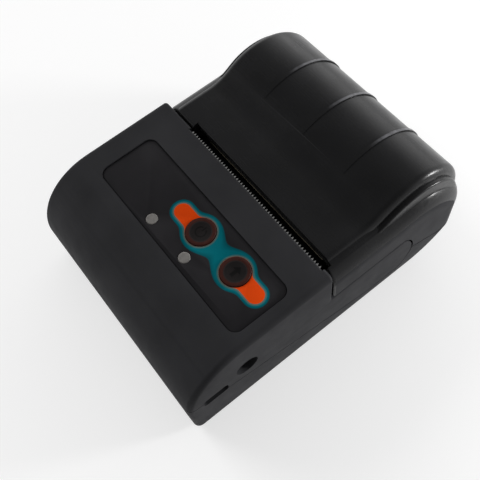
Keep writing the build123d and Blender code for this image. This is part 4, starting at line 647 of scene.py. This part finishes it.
def standby_sign(tree, radius, across, along):
    """Distance outside a broken circle with a stroke through its gap, the usual standby sign."""
    circle_radius, line, gap_half, stroke_middle, stroke_half = 1.5, 0.19, 0.55, 1.2, 0.8
    below = add(tree, "Math", {0: along, 1: -1.0}, operation="MULTIPLY")
    gap = add(tree, "Math", {0: stripe(tree, across, 0.0, gap_half), 1: below},
              operation="MAXIMUM")
    solid = add(tree, "Math", {0: gap, 1: -1.0}, operation="MULTIPLY")
    circle = add(tree, "Math", {0: stripe(tree, radius, circle_radius, line), 1: solid},
                 operation="MAXIMUM")
    stroke = add(tree, "Math", {0: stripe(tree, across, 0.0, line),
                                1: stripe(tree, along, stroke_middle, stroke_half)},
                 operation="MAXIMUM")
    return add(tree, "Math", {0: circle, 1: stroke}, operation="MINIMUM")


def arrow_sign(tree, radius, across, along):
    """Distance outside a plain arrow towards the paper slot."""
    tip, barbs, stem_half, stem_middle, stem_reach = 1.9, 0.35, 0.55, -0.6, 1.1
    diagonal = 0.707
    slope = add(tree, "Math", {0: add(tree, "Math", {0: across}, operation="ABSOLUTE"),
                               1: add(tree, "Math", {0: along, 1: tip}, operation="SUBTRACT")},
                operation="ADD")
    slope = add(tree, "Math", {0: slope, 1: diagonal}, operation="MULTIPLY")
    head = add(tree, "Math", {0: slope,
                              1: add(tree, "Math", {0: barbs, 1: along}, operation="SUBTRACT")},
               operation="MAXIMUM")
    stem = add(tree, "Math", {0: stripe(tree, across, 0.0, stem_half),
                              1: stripe(tree, along, stem_middle, stem_reach)},
               operation="MAXIMUM")
    return add(tree, "Math", {0: head, 1: stem}, operation="MINIMUM")


def key_plastic(name, key, sign):
    """Moulded key cap: a matt ring, a shinier finger dish with a painted highlight round its edge,
    and a dark sign in the dish.
    """
    settings = bpy.context.scene.printer_panel
    material, tree, shader, place = start_finish(name)
    flat = add(tree, "VectorMath", {0: place, 1: (1, 1, 0)}, operation="MULTIPLY")
    middle = (key.x / MM, key.y / MM, 0)
    radius = add(tree, "VectorMath", {0: flat, 1: middle}, give="Value", operation="DISTANCE")
    across, along, _ = add(tree, "SeparateXYZ", {
        0: add(tree, "VectorMath", {0: flat, 1: middle}, operation="SUBTRACT")}).node.outputs
    ring = inked(tree, add(tree, "Math", {0: DISH_RADIUS, 1: radius}, operation="SUBTRACT"), 0.2)
    colour = settings.key_colour
    fill(tree, shader, {
        "Base Color": coats(
            tree, shade_of(colour, 0.85),
            (clouds(tree, place, 3.0), shade_of(colour, 1.2)),
            # A painted highlight: a pale line of the key's own colour round the edge of the finger
            # dish.
            (inked(tree, stripe(tree, radius, DISH_RADIUS - 0.15, 0.16), 0.12),
             shade_of(colour, 1.9)),
            (inked(tree, sign(tree, radius, across, along), 0.08), shade_of(colour, 0.3)),
            (ring, settings.ring_colour)),
        "Roughness": add(tree, "MapRange", {"Value": ring, "To Min": 0.38, "To Max": 0.55}),
        "Normal": grained(tree, place, 0.5, 0.006),
        "Specular IOR Level": 0.16})
    return material


def milky_plastic():
    """Diffusing polycarbonate: light spreads under a frosted, slightly rounded face."""
    colour = bpy.context.scene.printer_panel.lens_colour
    material, tree, shader, place = start_finish("frosted_polycarbonate")
    fill(tree, shader, {
        "Base Color": coats(tree, shade_of(colour, 0.8),
                            (clouds(tree, place, 1.3), shade_of(colour, 1.08))),
        "Roughness": 0.38, "IOR": 1.58,
        "Subsurface Weight": 0.35, "Subsurface Radius": (1.0, 1.0, 0.95),
        "Subsurface Scale": 0.6 * MM,
        "Normal": grained(tree, place, 0.25, 0.006)})
    return material


def worked_metal(name, code, roughness, lay):
    """Bare metal with the fine lines that rolling, turning or extruding leaves along it."""
    material, tree, shader, place = start_finish(name)
    lined = add(tree, "Mapping", {"Vector": place, "Scale": lay}, vector_type="POINT")
    lines = add(tree, "TexNoise", {"Vector": lined, "Scale": 1 / 0.3, "Detail": 4.0,
                                   "Roughness": 0.6})
    colour = linear(code)
    fill(tree, shader, {
        "Base Color": coats(tree, shade_of(colour, 0.86),
                            (clouds(tree, place, 4.0, detail=5.0), shade_of(colour, 1.06))),
        "Metallic": 1.0,
        "Roughness": add(tree, "MapRange", {
            "Value": lines, "From Min": 0.3, "From Max": 0.7,
            "To Min": roughness - LINE_SHINE, "To Max": roughness + LINE_SHINE}),
        "Normal": add(tree, "Bump", {"Height": lines, "Distance": 0.004 * MM})})
    return material


def circuit_board():
    """Glass-epoxy board under green solder mask: tracks show through as raised, paler lines."""
    material, tree, shader, place = start_finish("solder_masked_board")
    # Tracks about 0.3 mm wide on a grid of 1.27 mm.
    grid = add(tree, "TexBrick", {
        "Vector": place, "Color1": (0, 0, 0, 1), "Color2": (0, 0, 0, 1), "Mortar": (1, 1, 1, 1),
        "Scale": 0.4, "Mortar Size": 0.06, "Brick Width": 2.2, "Row Height": 0.508}, give="Fac")
    laid = clouds(tree, place, 6.0, detail=1.0, thin=0.45, thick=0.5)
    tracks = add(tree, "Math", {0: grid, 1: laid}, operation="MULTIPLY")
    # Tinned pads about 0.8 mm across, some 3 mm apart.
    pads = add(tree, "TexVoronoi", {"Vector": place, "Scale": 0.35, "Randomness": 0.7},
               give="Distance", feature="F1")
    tinned = add(tree, "MapRange", {"Value": pads, "From Min": 0.13, "From Max": 0.16,
                                    "To Min": 1.0, "To Max": 0.0})
    height = add(tree, "Math", {0: tracks, 1: tinned}, operation="ADD")
    fill(tree, shader, {
        "Base Color": coats(tree, linear("#11492f"), (tracks, linear("#1f6a41")),
                            (tinned, linear("#b9b7ad"))),
        "Metallic": tinned,
        "Roughness": 0.32,
        "Normal": add(tree, "Bump", {"Height": height, "Distance": 0.03 * MM})})
    return material


def roller_rubber():
    """Ground silicone rubber of the platen: velvety black with the grinding lines round it."""
    material, tree, shader, place = start_finish("ground_silicone_rubber")
    lined = add(tree, "Mapping", {"Vector": place, "Scale": (6.0, 0.5, 0.5)},
                vector_type="POINT")
    lines = add(tree, "TexNoise", {"Vector": lined, "Scale": 1.0, "Detail": 3.0,
                                   "Roughness": 0.5})
    dust = clouds(tree, place, 3.0, detail=6.0, thin=0.45, thick=0.75)
    fill(tree, shader, {
        "Base Color": coats(tree, linear("#1d1d1f"), (dust, linear("#3a3937"))),
        "Roughness": 0.72,
        "Sheen Weight": 0.15,
        "Normal": add(tree, "Bump", {"Height": lines, "Distance": 0.01 * MM})})
    return material


def glazed_ceramic():
    """Thick-film head: an alumina strip with a glassy glaze and the brown line of heaters."""
    material, tree, shader, place = start_finish("glazed_alumina")
    height = add(tree, "SeparateXYZ", {0: place}, give="Z")
    heaters = stripe(tree, height, (top_of("print_head") - 1.8 * MM) / MM, 0.0)
    heaters = add(tree, "MapRange", {"Value": heaters, "From Min": 0.2, "From Max": 0.35,
                                     "To Min": 1.0, "To Max": 0.0})
    # The leads to the heaters are drawn 0.4 mm apart, wider than real ones.
    leads = add(tree, "TexWave", {"Vector": place, "Scale": 0.8, "Distortion": 0.0}, give="Fac",
                wave_type="BANDS", bands_direction="X")
    leads = add(tree, "MapRange", {"Value": leads, "From Min": 0.4, "From Max": 0.6})
    fill(tree, shader, {
        "Base Color": coats(tree, linear("#8f8a7c"), (leads, linear("#6e6352")),
                            (heaters, linear("#2b1d14"))),
        "Roughness": 0.18})
    return material


def ribbon_film():
    """Polyimide flat cable: amber film with copper tracks that show through it."""
    material, tree, shader, place = start_finish("polyimide_flat_cable")
    # Tracks at a pitch of 1 mm, as such cables have.
    wave = add(tree, "TexWave", {"Vector": place, "Scale": 0.314, "Distortion": 0.0}, give="Fac",
               wave_type="BANDS", bands_direction="X")
    tracks = add(tree, "MapRange", {"Value": wave, "From Min": 0.4, "From Max": 0.6})
    fill(tree, shader, {
        "Base Color": coats(tree, linear("#a8641a"), (tracks, linear("#c98a35"))),
        "Roughness": 0.3,
        "Normal": add(tree, "Bump", {"Height": tracks, "Distance": 0.02 * MM})})
    return material


def battery_wrap():
    """Shrunk film round the cells: glossy blue, slightly puckered."""
    material, tree, shader, place = start_finish("shrunk_battery_film")
    puckers = add(tree, "TexNoise", {"Vector": place, "Scale": 1 / 2.5, "Detail": 4.0,
                                     "Roughness": 0.5})
    drawn = add(tree, "MapRange", {"Value": puckers, "From Min": 0.3, "From Max": 0.7})
    fill(tree, shader, {
        "Base Color": coats(tree, linear("#20395c"), (drawn, linear("#2a4a75"))),
        "Roughness": 0.25,
        "Normal": add(tree, "Bump", {"Height": puckers, "Distance": 0.08 * MM})})
    return material


FINISHES = {
    "casing_plastic": casing_plastic,
    "cover_plastic": cover_plastic,
    "panel_film": panel_film,
    "milky_plastic": milky_plastic,
    # Glass-filled ABS of the works inside: matt black with a coarse grain.
    "inner_plastic": lambda: moulded_plastic("glass_filled_abs", linear("#1b1b1c"), 0.6, 0.6,
                                             0.03),
    # Self-lubricating acetal of gears and switch plungers: waxy off-white.
    "pale_plastic": lambda: moulded_plastic("natural_acetal", linear("#cfcabb"), 0.42, 0.8,
                                            0.01, mottle=0.06),
    "button_plastic": lambda: moulded_plastic("matt_key_plastic", linear("#2a2927"), 0.5, 0.5,
                                              0.01),
    "circuit_board": circuit_board,
    "ribbon_film": ribbon_film,
    # Hardened strip steel of the blade and springs, rolled along its length.
    "spring_steel": lambda: worked_metal("rolled_spring_steel", "#b5b5b3", 0.3,
                                         (0.3, 6.0, 1.0)),
    # Zinc-plated machine steel of screws, pins and shafts.
    "steel": lambda: worked_metal("zinc_plated_steel", "#a9abad", 0.34, (1.0, 1.0, 1.0)),
    # Drawn motor can, nickel plated.
    "motor_steel": lambda: worked_metal("nickel_plated_can", "#9b9a96", 0.28, (0.2, 3.0, 3.0)),
    # Turned brass of the motor's pinion.
    "brass": lambda: worked_metal("turned_brass", "#c2953f", 0.26, (4.0, 1.0, 1.0)),
    "roller_rubber": roller_rubber,
    # Extruded bar behind the print head, anodised black so that it sheds its heat.
    "aluminium": lambda: worked_metal("black_anodised_aluminium", "#17181a", 0.4,
                                      (0.15, 2.0, 5.0)),
    "ceramic": glazed_ceramic,
    "battery_wrap": battery_wrap,
    # Soft rubber of the feet: dull, dusty black.
    "foot_rubber": lambda: moulded_plastic("matt_foot_rubber", linear("#202020"), 0.85, 0.5,
                                           0.03, mottle=0.25),
}
MADE = {}


def finish_of(slot_name):
    """The material of a slot, made once."""
    if slot_name not in MADE:
        MADE[slot_name] = FINISHES[slot_name]()
    return MADE[slot_name]


def dress(piece, material):
    """Gives a piece one material."""
    piece.data.materials.clear()
    piece.data.materials.append(material)


class PRINTER_OT_finishes(Operator):
    """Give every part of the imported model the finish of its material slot"""

    bl_idname = "printer.finishes"
    bl_label = "Finish the packed parts"

    def execute(self, context):
        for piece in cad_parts.values():
            for slot in piece.material_slots:
                slot.material = finish_of(slot.material.name.split(".")[0])
        return {"FINISHED"}


def texture_skirts(cover):
    """Gives the cover's upright sides the mould texture of the housing, as the real one has."""
    cover.data.materials.append(finish_of("casing_plastic"))
    outside = CAD_BOX[1].x - SKIRT_DEPTH
    for face in cover.data.polygons:
        if abs(face.normal.x) > 0.96 and abs(face.center.x) > outside:
            face.material_index = 1


class PRINTER_OT_casing(Operator):
    """Mould the housing, base, cover and battery door with softened edges"""

    bl_idname = "printer.casing"
    bl_label = "Mould the casing"

    def execute(self, context):
        settings = context.scene.printer_casing
        for node_name, name, body, slot_name in (
                ("top_housing", "housing_moulding", "printer", "casing_plastic"),
                ("base_shell", "base_moulding", "printer", "casing_plastic"),
                ("paper_cover", "cover_moulding", "cover", "cover_plastic"),
                ("battery_door", "battery_door_moulding", "battery_hatch", "casing_plastic")):
            piece = merged_copy(node_name, name)
            soften_edges(piece, settings.edge_radius, settings.edge_steps)
            follow_curves(piece, node_name)
            dress(piece, finish_of(slot_name))
            if node_name == "paper_cover":
                texture_skirts(piece)
            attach(piece, body)
            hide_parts(node_name)
        return {"FINISHED"}


class PRINTER_OT_film(Operator):
    """Cut the printed control film and ease its edges"""

    bl_idname = "printer.film"
    bl_label = "Lay the control film"

    def execute(self, context):
        piece = merged_copy("control_overlay", "control_film")
        soften_edges(piece, context.scene.printer_panel.film_edge, EDGE_STEPS)
        dress(piece, finish_of("panel_film"))
        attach(piece, "printer")
        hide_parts("control_overlay")
        return {"FINISHED"}


class PRINTER_OT_keys(Operator):
    """Finish the two key caps with their finger dishes and signs"""

    bl_idname = "printer.keys"
    bl_label = "Finish the key caps"

    def execute(self, context):
        for node_name, name, body, sign in (
                ("power_button", "power_cap", "power_key", standby_sign),
                ("feed_button", "feed_cap", "feed_key", arrow_sign)):
            piece = merged_copy(node_name, name)
            soften_edges(piece, context.scene.printer_panel.key_edge, EDGE_STEPS)
            follow_curves(piece, node_name)
            dress(piece, key_plastic(f"moulded_{name}", centre_of(node_name), sign))
            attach(piece, body)
            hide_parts(node_name)
        return {"FINISHED"}


class PRINTER_OT_feet(Operator):
    """Press one rubber foot and set it under each corner"""

    bl_idname = "printer.feet"
    bl_label = "Set the feet"

    def execute(self, context):
        solids = solids_of("rubber_feet")
        first = foot_at("foot_1", solids[0])
        dress(first, finish_of("foot_rubber"))
        feet = [first]
        for number, corners in enumerate(solids[1:], 2):
            shift = middle_of(corners) - middle_of(solids[0])
            feet.append(copy_to(first, f"foot_{number}", shift))
        for foot in feet:
            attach(foot, "printer")
            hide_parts("rubber_feet")
        return {"FINISHED"}


class PRINTER_OT_screws(Operator):
    """Roll the screws, with their threads and cross recesses"""

    bl_idname = "printer.screws"
    bl_label = "Drive the screws"

    def execute(self, context):
        for node_name, body in (("case_screws", "printer"), ("mech_screws", "printer"),
                                ("board_screws", "printer"), ("holder_screws", "cover")):
            made = {}
            for number, corners in enumerate(solids_of(node_name), 1):
                name = f"{node_name[:-1]}_{number}"
                middle = middle_of(corners)
                rim = max(corners, key=lambda corner: (corner.xy - middle.xy).length)
                head_up = rim.z > middle.z
                if head_up in made:
                    model, place = made[head_up]
                    piece = copy_to(model, name, middle - place)
                else:
                    piece = screw_at(name, corners)
                    dress(piece, finish_of("steel"))
                    made[head_up] = (piece, middle)
                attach(piece, body)
                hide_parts(node_name)
        return {"FINISHED"}


class PRINTER_OT_stage(Operator):
    """Set up the floor, the lamps and the camera"""

    bl_idname = "printer.stage"
    bl_label = "Set up the stage"

    def execute(self, context):
        settings = context.scene.printer_stage
        deselect()
        bpy.ops.mesh.primitive_plane_add(size=FLOOR_SIZE, location=(0, 0, 0))
        floor = settle(bpy.context.object, "floor")
        material, tree, shader, _ = start_finish("matt_backdrop_paper")
        glow = add(tree, "Math", {0: seen_rays(tree), 1: FLOOR_GLOW}, operation="MULTIPLY")
        fill(tree, shader, {"Base Color": (*settings.floor_colour, 1), "Roughness": 0.9,
                            "Specular IOR Level": 0.1, "Emission Color": (1, 1, 1, 1),
                            "Emission Strength": glow})
        dress(floor, material)

        # Pale surroundings near the floor and dim ones overhead, brighter behind and at the left.
        world = bpy.data.worlds.new("even_light")
        world.use_nodes = True
        context.scene.world = world
        tree = world.node_tree
        way = add(tree, "TexCoord", give="Generated")
        across, along, height = add(tree, "SeparateXYZ", {0: way}).node.outputs
        level = add(tree, "MapRange", {"Value": height, "From Min": 0.3, "From Max": 0.7,
                                       "To Min": settings.horizon, "To Max": settings.ceiling})
        shown = add(tree, "Math", {0: level, 1: SHOWN_WHITE}, operation="MULTIPLY")
        shown = add(tree, "Math", {0: shown, 1: seen_rays(tree)}, operation="MULTIPLY")
        rear = add(tree, "MapRange", {"Value": along, "From Min": -0.6, "From Max": 0.9,
                                      "To Min": 0.5, "To Max": 1.7})
        left = add(tree, "MapRange", {"Value": across, "From Min": -0.6, "From Max": 0.8,
                                      "To Min": 1.25, "To Max": 0.45})
        for share in (rear, left):
            level = add(tree, "Math", {0: level, 1: share}, operation="MULTIPLY")
        level = add(tree, "Math", {0: level, 1: shown}, operation="MAXIMUM")
        fill(tree, tree.nodes["Background"], {"Color": (1, 1, 1, 1), "Strength": level})

        for name, power, direction, distance, width, mirrored in LAMPS:
            lamp = bpy.data.lights.new(name, "AREA")
            lamp.shape = "SQUARE"
            lamp.size = width
            lamp.energy = getattr(settings, power)
            holder = bpy.data.objects.new(name, lamp)
            context.scene.collection.objects.link(holder)
            towards = Vector(direction).normalized()
            holder.location = Vector(LAMP_AIM) + towards * distance
            holder.rotation_euler = towards.to_track_quat("Z", "Y").to_euler()
            holder.visible_glossy = mirrored

        turn, rise, roll = (radians(angle) for angle in (CAMERA_TURN, CAMERA_RISE, CAMERA_ROLL))
        back = Vector((sin(turn) * cos(rise), -cos(turn) * cos(rise), sin(rise)))
        sideways = Vector((cos(turn), sin(turn), 0))
        upright = back.cross(sideways)
        right = sideways * cos(roll) + upright * sin(roll)
        up = upright * cos(roll) - sideways * sin(roll)
        lens = bpy.data.cameras.new("camera")
        lens.sensor_width = SENSOR_WIDTH
        lens.lens = FOCAL_PIXELS / PICTURE_WIDTH * SENSOR_WIDTH
        lens.clip_start = 0.01
        camera = bpy.data.objects.new("camera", lens)
        context.scene.collection.objects.link(camera)
        spot = Vector(CAMERA_AIM) * MM + back * CAMERA_DISTANCE * MM
        camera.matrix_world = Matrix.Translation(spot) @ Matrix(
            (right, up, back)).transposed().to_4x4()
        context.scene.camera = camera
        context.scene.view_settings.view_transform = "Standard"
        return {"FINISHED"}


class PRINTER_PT_looks(Panel):
    """The steps and settings of the printer's looks"""

    bl_idname = "PRINTER_PT_looks"
    bl_label = "Receipt printer"
    bl_space_type = "VIEW_3D"
    bl_region_type = "UI"
    bl_category = "Printer"

    def draw(self, context):
        for settings in ("printer_casing", "printer_panel", "printer_stage"):
            group = getattr(context.scene, settings)
            box = self.layout.box()
            for name in group.__annotations__:
                box.prop(group, name)
        for step in STEPS:
            self.layout.operator(step.bl_idname)


GROUPS = {"printer_casing": CasingSettings, "printer_panel": PanelSettings,
          "printer_stage": StageSettings}
STEPS = (PRINTER_OT_finishes, PRINTER_OT_casing, PRINTER_OT_film, PRINTER_OT_keys,
         PRINTER_OT_feet, PRINTER_OT_screws, PRINTER_OT_stage)


def register():
    """Registers the settings, the steps and the panel."""
    for name, group in GROUPS.items():
        bpy.utils.register_class(group)
        setattr(bpy.types.Scene, name, PointerProperty(type=group))
    for step in STEPS:
        bpy.utils.register_class(step)
    bpy.utils.register_class(PRINTER_PT_looks)


def unregister():
    """Takes the panel, the steps and the settings away again."""
    bpy.utils.unregister_class(PRINTER_PT_looks)
    for step in reversed(STEPS):
        bpy.utils.unregister_class(step)
    for name, group in reversed(GROUPS.items()):
        delattr(bpy.types.Scene, name)
        bpy.utils.unregister_class(group)


def main():
    """Runs every step in order."""
    register()
    for step in STEPS:
        group, name = step.bl_idname.split(".")
        getattr(getattr(bpy.ops, group), name)()


if __name__ == "__main__":
    main()
